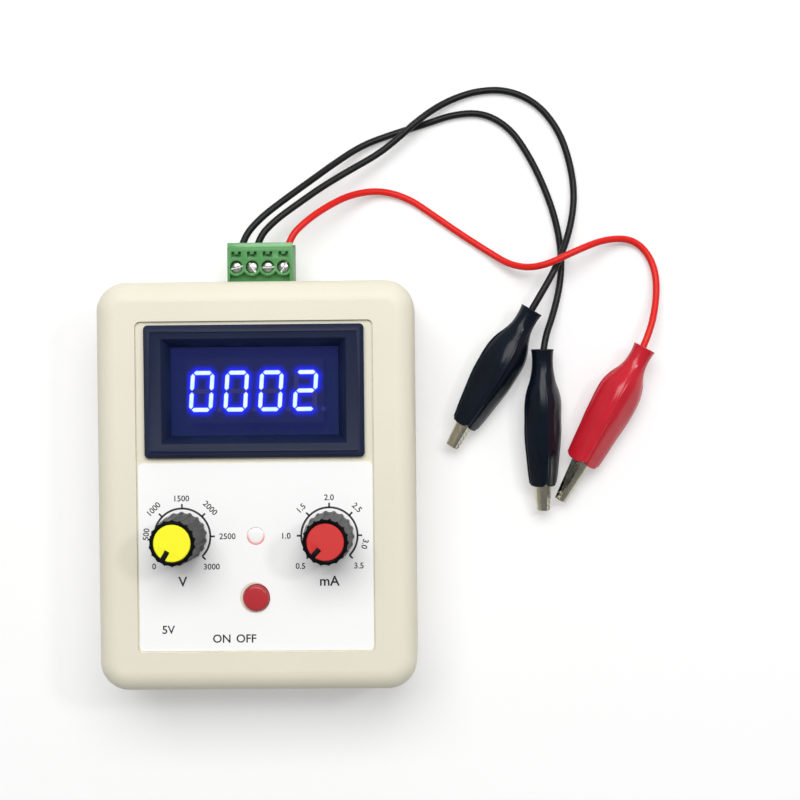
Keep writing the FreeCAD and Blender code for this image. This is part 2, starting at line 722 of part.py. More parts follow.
# Push button with its stem, and the switch it works
switch_hole = cylinder("start_switch_hole", 0, button_y, board_top + 2.0, 1.8, 5)
keep("start_switch", cut("start_switch", box("start_switch_can", 0, button_y, board_top, 6.2, 6.2, 3.6),
                         [switch_hole]))
stem_foot = board_top + 2.6
button = new_body("start_button", 0, button_y, stem_foot)
button_top = label_level + S.button_proud - stem_foot
collar = ceiling_level - 1.4 - stem_foot
turned(button, "button_blank",
       [(0, 0), (1.7, 0), (1.7, collar - 3), (S.button_radius, collar - 1),
        (S.button_radius + 1, collar - 1),
        (S.button_radius + 1, collar), (S.button_radius, collar), (S.button_radius, button_top - 0.4),
        (S.button_radius - 0.4, button_top), (0, button_top)])
keep("start_button", button)

# Clear indicator lamp with a nearly flat top, on its two leads
lamp_foot = ceiling_level - 3.7
lamp = new_body("indicator_lamp", 0, knob_y, lamp_foot)
tip = label_level - 0.02 - lamp_foot
turned(lamp, "lamp_lens", [(0, 0), (S.lamp_radius + 0.35, 0), (S.lamp_radius + 0.35, 1),
                           (S.lamp_radius, 1), (S.lamp_radius, tip - 0.3),
                           (S.lamp_radius * 0.8, tip - 0.1), (S.lamp_radius * 0.4, tip - 0.02), (0, tip)])
for n, side in enumerate((-1, 1), 1):
    block(lamp, "Additive", f"lamp_lead_{n}", side * 1.27, 0, S.board_level - 1 - lamp_foot, 0.5, 0.5,
          lamp_foot - S.board_level + 1.2)
keep("indicator_lamp", lamp)

# Power slide switch behind the lower end wall
switch_y = -(end_y - S.case_wall - 0.2 - 2.2)
slide_case = box("power_switch_case", slide_x, switch_y, board_top, 9.4, 4.4, 3.8)
slide_room = box("power_switch_room", slide_x, switch_y + 0.2, slide_level - 0.2,
                 4.2 + S.switch_travel + 0.4, 3.0, 2.2)
slide_gate = box("power_switch_gate", slide_x, switch_y - 2, slide_level,
                 slider_width + S.switch_travel + 0.4, 2.4, 1.8)
keep("power_switch", cut("power_switch", slide_case, [slide_room, slide_gate]))
slider_reach = end_y - 0.3 + switch_y
slider = fuse("power_slider", [box("slider_shoe", S.switch_x, switch_y + 0.2, slide_level - 0.1, 4.2,
                                   2.6, 1.9),
                               box("slider_lever", S.switch_x, switch_y - slider_reach / 2,
                                   slide_level + 0.1,
                                   slider_width, slider_reach, 1.6)])
keep("power_slider", slider)

# USB inlet: rounded shell with a tongue
usb_front = end_y - 0.6
usb_depth = 7.3
usb_level = board_top + S.usb_height / 2
inlet = new_body("usb_shell")
mouth = new_sketch(inlet, "usb_outline", across=usb_x, up=usb_level, off=usb_front, plane="XZ_Plane")
rounded(mouth, S.usb_width, S.usb_height, S.usb_height / 2 - 0.3)
pad(inlet, "usb_block", mouth, usb_depth, reverse=True)
throat = new_sketch(inlet, "usb_throat", across=usb_x, up=usb_level, off=usb_front, plane="XZ_Plane")
rounded(throat, S.usb_width - 0.6, S.usb_height - 0.6, S.usb_height / 2 - 0.6)
pocket(inlet, "usb_hollow", throat, usb_depth - 0.4)
keep("usb_shell", inlet)
tongue_y = -(usb_front - usb_depth + 0.4)
tongue = fuse("usb_tongue", [box("usb_tongue_base", usb_x, tongue_y - 0.8, usb_level - 1.2,
                                 S.usb_width - 2.2, 1.6, 2.4),
                             box("usb_tongue_blade", usb_x, tongue_y - 3, usb_level - 0.35,
                                 S.usb_width - 2.4, 5.2, 0.7)])
keep("usb_tongue", tongue)

# Step-up transformer, capacitors and chips on the board
core_y = knob_y + 10.4
core = box("core_block", 0, core_y, board_top, 13.4, 6, 12)
gaps = [box(f"core_window_{n}", side * 3.7, core_y, board_top + 2.6, 3.6, 8, 6.8)
        for n, side in enumerate((-1, 1), 1)]
keep("transformer_core", cut("transformer_core", core, gaps))
coil = box("coil_block", 0, core_y, board_top + 2.8, 10.6, 9.4, 6.4)
coil_hole = box("coil_hole", 0, core_y, board_top, 4.0, 6.2, 12)
keep("transformer_coil", cut("transformer_coil", coil, [coil_hole]))
cans = [cylinder(f"can_{n}", x, -(end_y - 13.5), board_top, 3.15, 11)
        for n, x in enumerate((11.5, 19.0), 1)]
keep("capacitors", group("capacitors", cans))
driver_width, driver_gap = 6.6, 1.1
driver_x = knob_x + pot_width / 2 + driver_gap + driver_width / 2
chip_table = [(-11.5, 14.5, 6.5, 5.3, 1.6), (9.0, 5.6, 5.0, 4.0, 1.5),
              (driver_x, 33.0, driver_width, 6.1, 2.3)]
chips = [box(f"chip_{n}", x, up - end_y, board_top, a, b, c)
         for n, (x, up, a, b, c) in enumerate(chip_table, 1)]
keep("chips", group("chips", chips))

# Terminal header on the board
header_front = end_y - 0.4
header_case = box("header_block", S.terminal_x, (header_back + header_front) / 2, board_top,
                  header_width, header_front - header_back, header_height)
header_room = box("header_room", S.terminal_x, (header_back + header_front) / 2 + 1.2, board_top + 0.9,
                  header_width - 1.8, header_front - header_back, header_height - 1.8)
pin_level = S.wire_level + 1.3
pin_slots = [box(f"header_slot_{n}", x, header_back, pin_level - 0.05, 0.9, 4, 0.9)
             for n, x in enumerate(poles, 1)]
keep("terminal_header", cut("terminal_header", header_case, [header_room] + pin_slots))
pins = []
for n, x in enumerate(poles, 1):
    run = end_y - 2 - pin_y + 0.4
    pins.append(fuse(f"header_pin_{n}", [
        box(f"pin_run_{n}", x, pin_y - 0.4 + run / 2, pin_level, 0.8, run, 0.8),
        box(f"pin_leg_{n}", x, pin_y, S.board_level - 1, 0.8, 0.8, pin_level - S.board_level + 1.8)]))
keep("header_pins", group("header_pins", pins))

# Terminal plug: outer block with scalloped screw bosses, and the part that enters the header
plug_back = end_y + 0.3
plug_front = end_y + S.plug_reach
plug_top = S.plug_bottom + S.plug_height
shelf = plug_top - 1.8
plug_blocks = [
    box("plug_outer", S.terminal_x, (plug_back + plug_front) / 2, S.plug_bottom, S.plug_width,
        plug_front - plug_back, shelf - S.plug_bottom),
    box("plug_bridge", S.terminal_x, (screw_y + plug_front) / 2, shelf, S.plug_width,
        plug_front - screw_y, 1.8),
    box("plug_lip", S.terminal_x, plug_front + 0.6, S.plug_bottom, S.plug_width, 1.2, 1.7),
    box("plug_inner", S.terminal_x, (header_back + 1.35 + plug_back) / 2, board_top + 1.05,
        header_width - 2.1, plug_back - header_back - 1.35, header_height - 2.1),
]
for n, side in enumerate((-1, 1), 1):
    plug_blocks.append(box(f"plug_cheek_{n}", S.terminal_x + side * (S.plug_width / 2 - 0.3),
                           (plug_back + screw_y) / 2, shelf,
                           0.6, screw_y - plug_back, 1.8))
for n, x in enumerate(poles, 1):
    plug_blocks.append(cylinder(f"plug_boss_{n}", x, screw_y, shelf - 0.5, 2.0, 2.3))
plug_tools = []
chamber_top = plug_top - 2.7
for n, x in enumerate(poles, 1):
    plug_tools += [
        cylinder(f"plug_screw_well_{n}", x, screw_y, plug_top - 2.2, S.clamp_screw_radius + 0.1, 4),
        cylinder(f"plug_screw_neck_{n}", x, screw_y, chamber_top - 0.5, 1.05, 2),
        box(f"plug_chamber_{n}", x, screw_y, S.plug_bottom + 0.5, 2.9, 3.8,
            chamber_top - S.plug_bottom - 0.5),
        box(f"plug_entry_{n}", x, plug_front - 1.2, S.wire_level - 1.1, 2.2, 4, 2.2),
        box(f"plug_channel_{n}", x, (header_back + screw_y) / 2, S.wire_level + 0.55, 1.5,
            screw_y - header_back, 1.7),
        cut(f"plug_slot_{n}", box(f"plug_slot_room_{n}", x, plug_front - 1.45, plug_top - 1.4, 2.1, 1.3,
                                  3),
            [box(f"plug_slot_nub_{n}", x, plug_front - 1.1, plug_top - 2, 0.9, 0.6, 5)]),
    ]
keep("terminal_plug", cut("terminal_plug", fuse("plug_solid", plug_blocks), plug_tools))
strip_back = header_back + 1.6
strips = [box(f"contact_strip_{n}", x, (strip_back + screw_y + 1.7) / 2, S.wire_level + 0.65, 1.2,
              screw_y + 1.7 - strip_back, 0.6)
          for n, x in enumerate(poles, 1)]
keep("plug_contacts", group("plug_contacts", strips))

# Clamp screws and the cages they lift
cage_bottom = S.wire_level - 1.25
cage_height = chamber_top - 0.2 - cage_bottom
for n, (x, slot_turn) in enumerate(zip(poles, (5.0, 82.0, 38.0, 96.0)), 1):
    name = f"terminal_screw_{n}"
    clamp = new_body(name, x, screw_y, S.wire_level + 1.35)
    neck = plug_top - 2.15 - S.wire_level - 1.35
    head = S.clamp_screw_radius
    turned(clamp, f"{name}_blank", [(0, 0), (0.95, 0), (0.95, neck), (head, neck), (head, neck + 1.2),
                                    (head - 0.2, neck + 1.4), (0, neck + 1.4)])
    block(clamp, "Subtractive", f"{name}_slot", 0, 0, neck + 0.8, 0.5, 2 * head + 1, 2)
    clamp.Placement.Rotation = FreeCAD.Rotation(Vector(0, 0, 1), slot_turn)
    keep(name, clamp)
    cage = cut(f"terminal_cage_{n}", box(f"cage_block_{n}", x, screw_y, cage_bottom, 2.6, 3.2,
                                         cage_height),
               [box(f"cage_window_{n}", x, screw_y, cage_bottom + 0.6, 2.0, 5, cage_height - 1.6),
                cylinder(f"cage_thread_{n}", x, screw_y, cage_bottom + cage_height - 1.5, 1.0, 3)])
    keep(f"terminal_cage_{n}", cage)

# Leads: routes chosen by hand. The first two points follow the terminal block.
lead_start = plug_front - 1.6
ROUTES = {
    "black_lead_1": (0, [
        (-0.8, 60.0, 11.9), (5.0, 64.4, 10.1), (11.0, 68.6, 7.6), (16.8, 73.2, 4.6),
        (23.0, 77.6, 2.0), (30.2, 80.3, 0.9), (37.4, 82.4, 0.85), (44.6, 84.8, 0.85),
        (51.6, 85.0, 0.85), (57.6, 81.4, 0.85), (61.8, 75.2, 0.85), (65.2, 68.2, 0.85),
        (67.9, 60.6, 0.85), (69.3, 53.0, 0.85), (69.2, 46.0, 1.0), (67.4, 38.4, 2.6),
        (64.4, 30.6, 5.4), (64.4, 23.8, 5.13)]),
    "black_lead_2": (1, [
        (2.4, 59.4, 11.9), (8.4, 63.6, 10.3), (14.4, 67.6, 8.3), (20.8, 71.6, 6.2),
        (26.6, 75.0, 4.6), (31.0, 78.4, 4.1), (36.6, 83.4, 4.0), (42.6, 87.6, 1.6),
        (49.8, 90.2, 0.85), (57.2, 90.3, 0.85), (63.8, 87.2, 0.85), (68.6, 81.4, 0.85),
        (71.3, 74.2, 0.85), (72.6, 65.8, 0.9), (71.3, 57.3, 2.2), (67.8, 48.5, 5.3),
        (62.82, 40.23, 6.18), (59.35, 34.38, 5.76)]),
    "red_lead": (3, [
        (9.6, 59.4, 11.4), (14.6, 62.9, 8.6), (20.6, 66.0, 4.6), (27.2, 67.2, 1.6),
        (33.8, 65.3, 0.85), (39.4, 61.4, 0.85), (45.6, 57.0, 0.85), (52.0, 52.8, 0.95),
        (57.8, 49.0, 3.2), (64.0, 48.4, 7.4), (72.6, 52.4, 7.8), (79.6, 55.2, 3.8),
        (86.4, 55.2, 1.0), (90.7, 50.2, 0.85), (91.5, 42.6, 2.4), (88.82, 31.59, 6.39),
        (83.59, 22.15, 5.69)]),
}


def rounded_path(points):
    """Straight runs joined by tangent arcs, with the smallest bend radius."""
    radii, pieces, last = [], [], points[0]
    for before, here, after in zip(points, points[1:], points[2:]):
        into, away = here - before, after - here
        shorter = min(into.Length, away.Length)
        turn = into.getAngle(away)
        reach = 0.45 * shorter
        radii.append(reach / math.tan(turn / 2))
        into.normalize()
        away.normalize()
        enter, leave = here - into * reach, here + away * reach
        toward = away - into
        toward.normalize()
        middle = here + toward * (radii[-1] / math.cos(turn / 2) - radii[-1])
        pieces.append(Part.LineSegment(last, enter))
        pieces.append(Part.Arc(enter, middle, leave))
        last = leave
    pieces.append(Part.LineSegment(last, points[-1]))
    return Part.Wire([piece.toShape() for piece in pieces]), min(radii)


def tube(points, diameter, word):
    """Round tube along a path, checked against its section times its length."""
    path, tightest = rounded_path(points)
    heading = points[1] - points[0]
    section = Part.Wire(Part.makeCircle(diameter / 2, points[0], heading))
    made = path.makePipeShell([section], True, False)
    expected = path.Length * math.pi * diameter ** 2 / 4
    share = made.Volume / expected
    print(f"{word}: length {path.Length:.1f}, tightest radius {tightest:.1f}, volume ratio {share:.4f}")
    return made


lead_width = float(S.lead_diameter)
clip_ends = {}
for name, (pole, chosen) in ROUTES.items():
    x = float(poles[pole])
    level = float(S.wire_level)
    start = float(lead_start)
    route = [Vector(x, start, level), Vector(x + 0.3, start + 4.2, level - 0.15)]
    route += [Vector(*spot) for spot in chosen]
    clip_ends[name] = route[-2:]
    core_end = Vector(x, start - 3.9, level)
    stub = Part.makeCylinder(0.5, 4.0, core_end, Vector(0, 1, 0))
    lead = doc.addObject("Part::Feature", name)
    lead.Shape = tube(route, lead_width, name).fuse(stub)
    keep(name, lead)

# Three-wire cable from the meter board, under the main board, up to its lower side
loop_low, loop_y = 3.4, float(meter_y - meter_body_length / 2) - 5
cable = []
for n in (-1, 0, 1):
    x = 8.0 + 1.6 * n
    top, low = float(meter_board_level), float(S.board_level)
    bends = [Vector(x, loop_y + 12, top), Vector(x, loop_y + 12, loop_low),
             Vector(x, loop_y, loop_low), Vector(x, loop_y, low)]
    cable.append(tube(bends, 0.7, f"meter_cable wire {n + 2}"))
strand = doc.addObject("Part::Feature", "meter_cable")
strand.Shape = Part.makeCompound(cable)
keep("meter_cable", strand)

# Clips. In a clip's own axes X runs to the jaw tips, Y is the pivot, Z is the back of the fixed jaw.
tip_x = S.jaw_reach


def arched(drawn, half_width, edge_level, crown):
    """Section of a jaw: open edge below, arched back above, on an origin 5 below the pivot."""
    rise = half_width * 0.4
    w, low, high = float(half_width), float(edge_level) + 5, float(crown - rise) + 5
    radius = (half_width * half_width + rise * rise) / (2 * rise)
    r, s = float(radius), float(rise)
    spots = [(-w, high), (-w, low), (w, low), (w, high)]
    sides = [line(drawn, spots[i], spots[i + 1]) for i in range(3)]
    hub = Vector(0, high + s - r)
    swing = math.atan2(high - hub.y, w)
    back = drawn.addGeometry(Part.ArcOfCircle(Part.Circle(hub, Vector(0, 0, 1), r), swing,
                                              math.pi - swing), False)
    constrain(drawn, "Coincident", sides[0], 2, sides[1], 1)
    constrain(drawn, "Coincident", sides[1], 2, sides[2], 1)
    constrain(drawn, "Coincident", sides[2], 2, back, 1)
    constrain(drawn, "Coincident", back, 2, sides[0], 1)
    constrain(drawn, "Vertical", sides[0])
    constrain(drawn, "Vertical", sides[2])
    constrain(drawn, "Symmetric", sides[1], 1, sides[1], 2, -2)
    dimension(drawn, "DistanceX", sides[1], 1, sides[1], 2, value=2 * half_width)
    dimension(drawn, "DistanceY", -1, 1, sides[1], 1, value=edge_level + 5)
    dimension(drawn, "DistanceY", -1, 1, sides[2], 2, value=crown - rise + 5)
    dimension(drawn, "Radius", back, value=radius)


def sections(owner, word, table, draw, drop=0):
    made = []
    for n, (along, *numbers) in enumerate(table, 1):
        drawn = new_sketch(owner, f"{word}_{n}", up=drop, off=along, plane="YZ_Plane")
        draw(drawn, *numbers)
        made.append(drawn)
    return made


def jaw(name, widths, edge_level, tooth_shift, with_crimp):
    """Stamped channel with teeth, pivot ears and finger pad; the fixed one ends in a crimp."""
    made = new_body(name)
    front, neck, pivot, shoulder, heel, tail = widths
    table = [(tip_x, front, edge_level, 1.25), (4, neck, edge_level, 2.5), (0, pivot, 0.2, 2.8),
             (-4, shoulder, 1.2, 3.0), (-8, heel, 2.0, 3.3), (-10.5, tail, 2.1, 3.2)]
    if with_crimp:
        table.append((-13, 1.1, 0.3, 1.5))
    loft(made, "Additive", f"{name}_skin", sections(made, f"{name}_outer", table, arched, drop=-5))
    inner = [(x, w - S.jaw_sheet, e - 1.2, c - S.jaw_sheet) for x, w, e, c in table]
    inner[0] = (tip_x - 0.6,) + inner[0][1:]
    loft(made, "Subtractive", f"{name}_hollow", sections(made, f"{name}_inner", inner, arched, drop=-5))
    ear = pivot - S.jaw_sheet
    bar(made, "Additive", f"{name}_ear_1", 0, ear, 0, 1.5, S.jaw_sheet, axis="Y")
    bar(made, "Additive", f"{name}_ear_2", 0, -pivot, 0, 1.5, S.jaw_sheet, axis="Y")
    bar(made, "Subtractive", f"{name}_eye", 0, -4, 0, 0.72 if with_crimp else 0.76, 8, axis="Y")
    if with_crimp:
        bar(made, "Additive", f"{name}_barrel", -16.5, 0, 0, 1.35, 4.1, axis="X")
        bar(made, "Subtractive", f"{name}_barrel_bore", -17, 0, 0, S.lead_diameter / 2 + 0.05, 3.6,
            axis="X")
    teeth = new_sketch(made, f"{name}_notch", across=2.05 + tooth_shift, up=edge_level, plane="XZ_Plane")
    outline(teeth, [(-S.tooth_pitch / 2, -0.02), (S.tooth_pitch / 2, -0.02), (0, S.tooth_depth)])
    first = pocket(made, f"{name}_tooth", teeth, 8, both=True)
    row = made.newObject("PartDesign::LinearPattern", f"{name}_teeth")
    row.Originals = [first]
    row.Direction = (datum(made, "X_Axis"), [""])
    row.Occurrences = 14
    bind(row, "Length", 13 * S.tooth_pitch)
    made.Tip = row
    return made


def boot(name, mouth_x, bulge):
    """Soft sleeve: square-shouldered mouth, bulge over the finger pads, round neck."""
    made = new_body(name)
    table = [(0, 3.15, 3.25, 1.2), (8, 3.6, 3.25 + (bulge - 3.25) * 0.45, 1.6),
             (15, 4.2, bulge - 0.1, 2.4), (18.5, 4.3, bulge, 2.8),
             (22.5, 3.75, bulge * 0.83, 2.6), (26, 2.5, 2.5, 2.3),
             (29, 2.45, 2.45, 2.25), (31.5, 2.65, 2.65, 2.45)]
    outer = [(mouth_x - s, 2 * w, 2 * v, c) for s, v, w, c in table]
    loft(made, "Additive", f"{name}_skin", sections(made, f"{name}_outer", outer, rounded))
    wall = S.boot_wall
    inner = [(x, w - 2 * wall, v - 2 * wall, c - wall * 0.9) for x, w, v, c in outer]
    loft(made, "Subtractive", f"{name}_hollow", sections(made, f"{name}_inner", inner, rounded))
    return made


def pivot_pin(name):
    made = new_body(name)
    shank = 2.25
    for word, y, radius, height in (("rod", -shank, 0.7, 2 * shank), ("head", shank, 1.1, 0.35),
                                    ("tail", -shank - 0.35, 1.1, 0.35)):
        bar(made, "Additive", f"{name}_{word}", 0, y, 0, radius, height, axis="Y")
    return made


def coil_spring(wire, radius, reach, half_width, turns):
    """Torsion coil round the pivot with a leg against each finger pad."""
    span = math.hypot(*reach)
    first = math.atan2(reach[1], reach[0]) - math.acos(radius / span)
    sweep = 2 * first + turns * 2 * math.pi
    count = int(round(sweep / (math.pi / 4)))

    def spot(n):
        turn = first - sweep * n / count
        return Vector(radius * math.cos(turn), half_width - 2 * half_width * n / count,
                      radius * math.sin(turn))

    pieces = [Part.LineSegment(Vector(reach[0], half_width, reach[1]), spot(0))]
    for n in range(0, count - count % 2, 2):
        pieces.append(Part.Arc(spot(n), spot(n + 1), spot(n + 2)))
    if count % 2:
        middle = (spot(count - 1) + spot(count)) * 0.5
        scale = radius / math.hypot(middle.x, middle.z)
        pieces.append(Part.Arc(spot(count - 1), Vector(middle.x * scale, middle.y, middle.z * scale),
                               spot(count)))
    pieces.append(Part.LineSegment(spot(count), Vector(reach[0], -half_width, -reach[1])))
    path = Part.Wire([piece.toShape() for piece in pieces])
    start = pieces[0].StartPoint
    section = Part.Wire(Part.makeCircle(wire / 2, start, pieces[0].EndPoint - start))
    made = path.makePipeShell([section], True, False)
    print(f"spring volume ratio {made.Volume / (path.Length * math.pi * wire ** 2 / 4):.4f}")
    return made


def clip_placement(before, end, roll, flipped=False):
    """Frame at the pivot, 15 beyond the lead's end, turned about the clip's length."""
    along = end - before
    along.normalize()
    side = Vector(0, 0, 1).cross(along)
    side.normalize()
    upright = along.cross(side)
    tilt = math.radians(roll)
    back = upright * math.cos(tilt) + side * math.sin(tilt)
    if flipped:
        back = back * -1
    hinge = back.cross(along)
    turn = FreeCAD.Rotation(along, hinge, back, "XYZ")
    return FreeCAD.Placement(end + along * 15, turn)


# The moving jaw is the upper one, so that a clip opens away from the table it lies on.
CLIPS = (("left_clip", "black_lead_2", 150.0, S.black_boot_mouth, S.boot_width),
         ("middle_clip", "black_lead_1", 150.0, S.black_boot_mouth, S.middle_boot_width),
         ("red_clip", "red_lead", -130.0, S.red_boot_mouth, S.boot_width))
pivot_pins = []
for name, lead_name, roll, boot_mouth, bulge in CLIPS:
    closed = clip_placement(*clip_ends[lead_name], roll)
    fixed = jaw(f"{name}_fixed_jaw", (1.35, 1.6, 1.65, 1.65, 2.0, 1.8), -0.15, S.tooth_pitch / 2, True)
    fixed.Placement = closed
    moving = jaw(f"{name}_moving_jaw", (1.35, 2.0, 2.25, 2.25, 2.0, 1.8), -0.3, 0, False)
    moving.Placement = clip_placement(*clip_ends[lead_name], roll, flipped=True)
    sleeve = boot(f"{name}_boot", boot_mouth, bulge)
    sleeve.Placement = closed
    coil = doc.addObject("Part::Feature", f"{name}_spring")
    coil.Shape = coil_spring(0.4, 1.05, (-7.0, 2.2), 0.8, 3)
    coil.Placement = closed
    pin = pivot_pin(f"{name}_pin")
    pin.Placement = closed
    pivot_pins.append(pin)
    for word, made in (("fixed_jaw", fixed), ("moving_jaw", moving), ("boot", sleeve), ("spring", coil)):
        keep(f"{name}_{word}", made)
keep("clip_pins", group("clip_pins", pivot_pins))

# Check every object, then write one file for each piece
doc.recompute()
faults = [item.Name for item in doc.Objects if {"Invalid", "Error"} & set(item.State)]
if faults:
    raise RuntimeError(f"objects with faults: {faults}")
for name, made in parts.items():
    shape = made.Shape
    if shape.isNull() or not shape.isValid():
        raise RuntimeError(f"bad shape: {name}")
    shape.exportStep(f"parts/{name}.step")
print(len(parts), "pieces written")
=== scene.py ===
# %% [markdown]
# # A component tester on a white bench
# The tester is a flat two-part plastic case with a panel meter, two knobs, a push button and a
# plug-in terminal block. Three leads run from the block to crocodile clips in soft sleeves.
# The CAD model is the frame: everything below either gives a CAD piece its finish, or puts a
# finer piece in its place.

# %% Load the frame
import bmesh
import bpy
import math
from mathutils import Matrix, Vector, noise
from mathutils.bvhtree import BVHTree


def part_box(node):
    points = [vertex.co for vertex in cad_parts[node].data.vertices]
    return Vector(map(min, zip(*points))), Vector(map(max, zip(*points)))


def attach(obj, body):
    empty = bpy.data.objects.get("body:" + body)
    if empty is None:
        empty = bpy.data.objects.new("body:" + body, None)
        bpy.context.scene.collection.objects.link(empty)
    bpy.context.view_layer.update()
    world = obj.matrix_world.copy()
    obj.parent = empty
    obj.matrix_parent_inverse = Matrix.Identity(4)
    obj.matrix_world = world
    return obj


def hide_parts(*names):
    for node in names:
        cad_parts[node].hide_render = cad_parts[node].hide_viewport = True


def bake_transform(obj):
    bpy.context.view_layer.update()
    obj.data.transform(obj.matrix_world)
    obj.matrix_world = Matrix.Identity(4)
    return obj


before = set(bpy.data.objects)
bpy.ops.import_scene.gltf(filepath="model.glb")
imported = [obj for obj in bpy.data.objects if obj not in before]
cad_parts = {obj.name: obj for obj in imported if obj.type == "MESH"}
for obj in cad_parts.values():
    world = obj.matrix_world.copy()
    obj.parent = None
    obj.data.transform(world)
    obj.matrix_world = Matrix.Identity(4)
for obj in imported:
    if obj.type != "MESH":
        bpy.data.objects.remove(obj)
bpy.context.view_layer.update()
scene = bpy.context.scene
MM = 0.001

# %% [markdown]
# ## Small helpers
# Colours are read off as sRGB hex values, the way a paint program shows them, and Blender mixes
# them as linear light, so one function converts them. Another one adds a node to a material: it
# takes the inputs as a table, where a socket means a link and anything else is a plain value.

# %% Colour and node helpers
def linear(hex_code, alpha=1.0):
    """sRGB hex to the linear colour that shaders use."""
    parts = [int(hex_code[i:i + 2], 16) / 255 for i in (1, 3, 5)]
    return (*[c / 12.92 if c <= 0.04045 else ((c + 0.055) / 1.055) ** 2.4 for c in parts], alpha)


def add(tree, kind, inputs=None, **settings):
    """One node with its settings; an input is a value, or a socket to link from."""
    made = tree.nodes.new(kind)
    for word, value in settings.items():
        setattr(made, word, value)
    for key, value in (inputs or {}).items():
        if isinstance(value, bpy.types.NodeSocket):
            tree.links.new(value, made.inputs[key])
        else:
            made.inputs[key].default_value = value
    return made


def per_mm(size):
    """Texture scale whose pattern repeats about every so many millimetres."""
    return 1 / (size * MM)


def blank(name):
    """Empty node material; returns it with its tree."""
    made = bpy.data.materials.new(name)
    made.use_nodes = True
    made.node_tree.nodes.clear()
    return made, made.node_tree


print("colour check", [round(part, 3) for part in linear("#808080")])

# %% [markdown]
# Every shape below is drawn in a bmesh, Blender's workbench for geometry, and then becomes an
# object. Where a piece needs a wall, a cut or a smoother skin, a modifier makes it and is applied at
# once, because later steps read the mesh's own vertices.

# %% From a bmesh to a finished piece
def plain_object(name, bm):
    """Object that holds a bmesh, linked to the scene."""
    mesh = bpy.data.meshes.new(name)
    bm.to_mesh(mesh)
    bm.free()
    made = bpy.data.objects.new(name, mesh)
    scene.collection.objects.link(made)
    return made


def finished(name, bm, material, wall=0, smooth_levels=0, cutter=None):
    """Object from a bmesh with its wall, cut and smoothing applied to the mesh."""
    for face in bm.faces:
        face.smooth = True
    made = plain_object(name, bm)
    made.data.materials.append(material)
    if wall:
        skin = made.modifiers.new("wall", "SOLIDIFY")
        skin.thickness, skin.offset = wall * MM, -1.0
    if cutter:
        knife = plain_object("cutter", cutter)
        cut = made.modifiers.new("cut", "BOOLEAN")
        cut.operation, cut.object = "DIFFERENCE", knife
    if smooth_levels:
        skin = made.modifiers.new("skin", "SUBSURF")
        skin.levels = skin.render_levels = smooth_levels
    if made.modifiers:
        ready = made.evaluated_get(bpy.context.evaluated_depsgraph_get())
        applied = bpy.data.meshes.new_from_object(ready)
        made.modifiers.clear()
        made.data = applied
    if cutter:
        bpy.data.objects.remove(knife)
    return made


# %% [markdown]
# ## Most finishes are one idea
# Nearly every surface here is moulded, plated or dipped. Each has a base colour that drifts a
# little over several millimetres, a fine grain that breaks up the gloss, and a bump of the same
# grain. One function builds that, and each material sets its own sizes and its own shader values.

# %% A grained surface
def grained(name, dark, light, drift_mm, grain_mm, depth_mm, gloss, stretch=(1, 1, 1), **shader):
    """Principled surface with a drifting colour, a grain in its gloss and a bump."""
    made, tree = blank(name)
    where = add(tree, "ShaderNodeTexCoord")
    along = add(tree, "ShaderNodeMapping", {"Vector": where.outputs["Object"], "Scale": stretch})
    drift = add(tree, "ShaderNodeTexNoise",
                {"Vector": where.outputs["Object"], "Scale": per_mm(drift_mm), "Detail": 3.0})
    tint = add(tree, "ShaderNodeMix", {0: drift.outputs["Fac"], 6: linear(dark), 7: linear(light)},
               data_type="RGBA")
    grain = add(tree, "ShaderNodeTexNoise",
                {"Vector": along.outputs["Vector"], "Scale": per_mm(grain_mm), "Detail": 2.0})
    rough = add(tree, "ShaderNodeMapRange",
                {"Value": grain.outputs["Fac"], "From Min": 0.3, "From Max": 0.7,
                 "To Min": gloss[0], "To Max": gloss[1]})
    bump = add(tree, "ShaderNodeBump",
               {"Height": grain.outputs["Fac"], "Strength": 1.0, "Distance": depth_mm * MM})
    inputs = {"Base Color": tint.outputs[2], "Roughness": rough.outputs["Result"],
              "Normal": bump.outputs["Normal"], **shader}
    surface = add(tree, "ShaderNodeBsdfPrincipled", inputs)
    add(tree, "ShaderNodeOutputMaterial", {"Surface": surface.outputs["BSDF"]})
    return made


# %% [markdown]
# ## The camera comes first
# The photograph was taken from almost straight above. Its place, tilt and lens were worked out
# from the case corners, the meter and the clips, so the render can be laid over it. Depth of field
# stays off.

# %% Camera
camera_data = bpy.data.cameras.new("photo_camera")
camera_data.sensor_width = 36.0
camera_data.lens = 73.54
camera_data.clip_start, camera_data.clip_end = 0.01, 20.0
camera = bpy.data.objects.new("photo_camera", camera_data)
camera.location = Vector((37.8821, 24.2262, 383.3633)) * MM
camera.rotation_euler = [math.radians(a) for a in (-0.9087, 0.9708, -0.5518)]
scene.collection.objects.link(camera)
scene.camera = camera
print("camera", tuple(round(v, 4) for v in camera.location))

# %% [markdown]
# ## A white table in soft light
# The background is burnt out to white, but the object itself isn't over-lit. So the floor is a
# plain white surface that receives shadows, with a little of its own light added for camera rays,
# mirror reflections and rays through glass only. The room is pale at the horizon and dim overhead,
# so glossy black stays black when it is seen from above, and it is dimmer on the side away from the
# window. The lamps stay at the level at which a colour renders about as it is written.

# %% Floor
FLOOR = -0.09  # a hair below the lowest piece, in millimetres
HALF_TABLE = 2.0  # metres
OWN_LIGHT = 0.28  # added to the floor where it is seen, so that it turns white
SEEN_RAYS = ("Is Camera Ray", "Is Glossy Ray", "Is Transmission Ray")


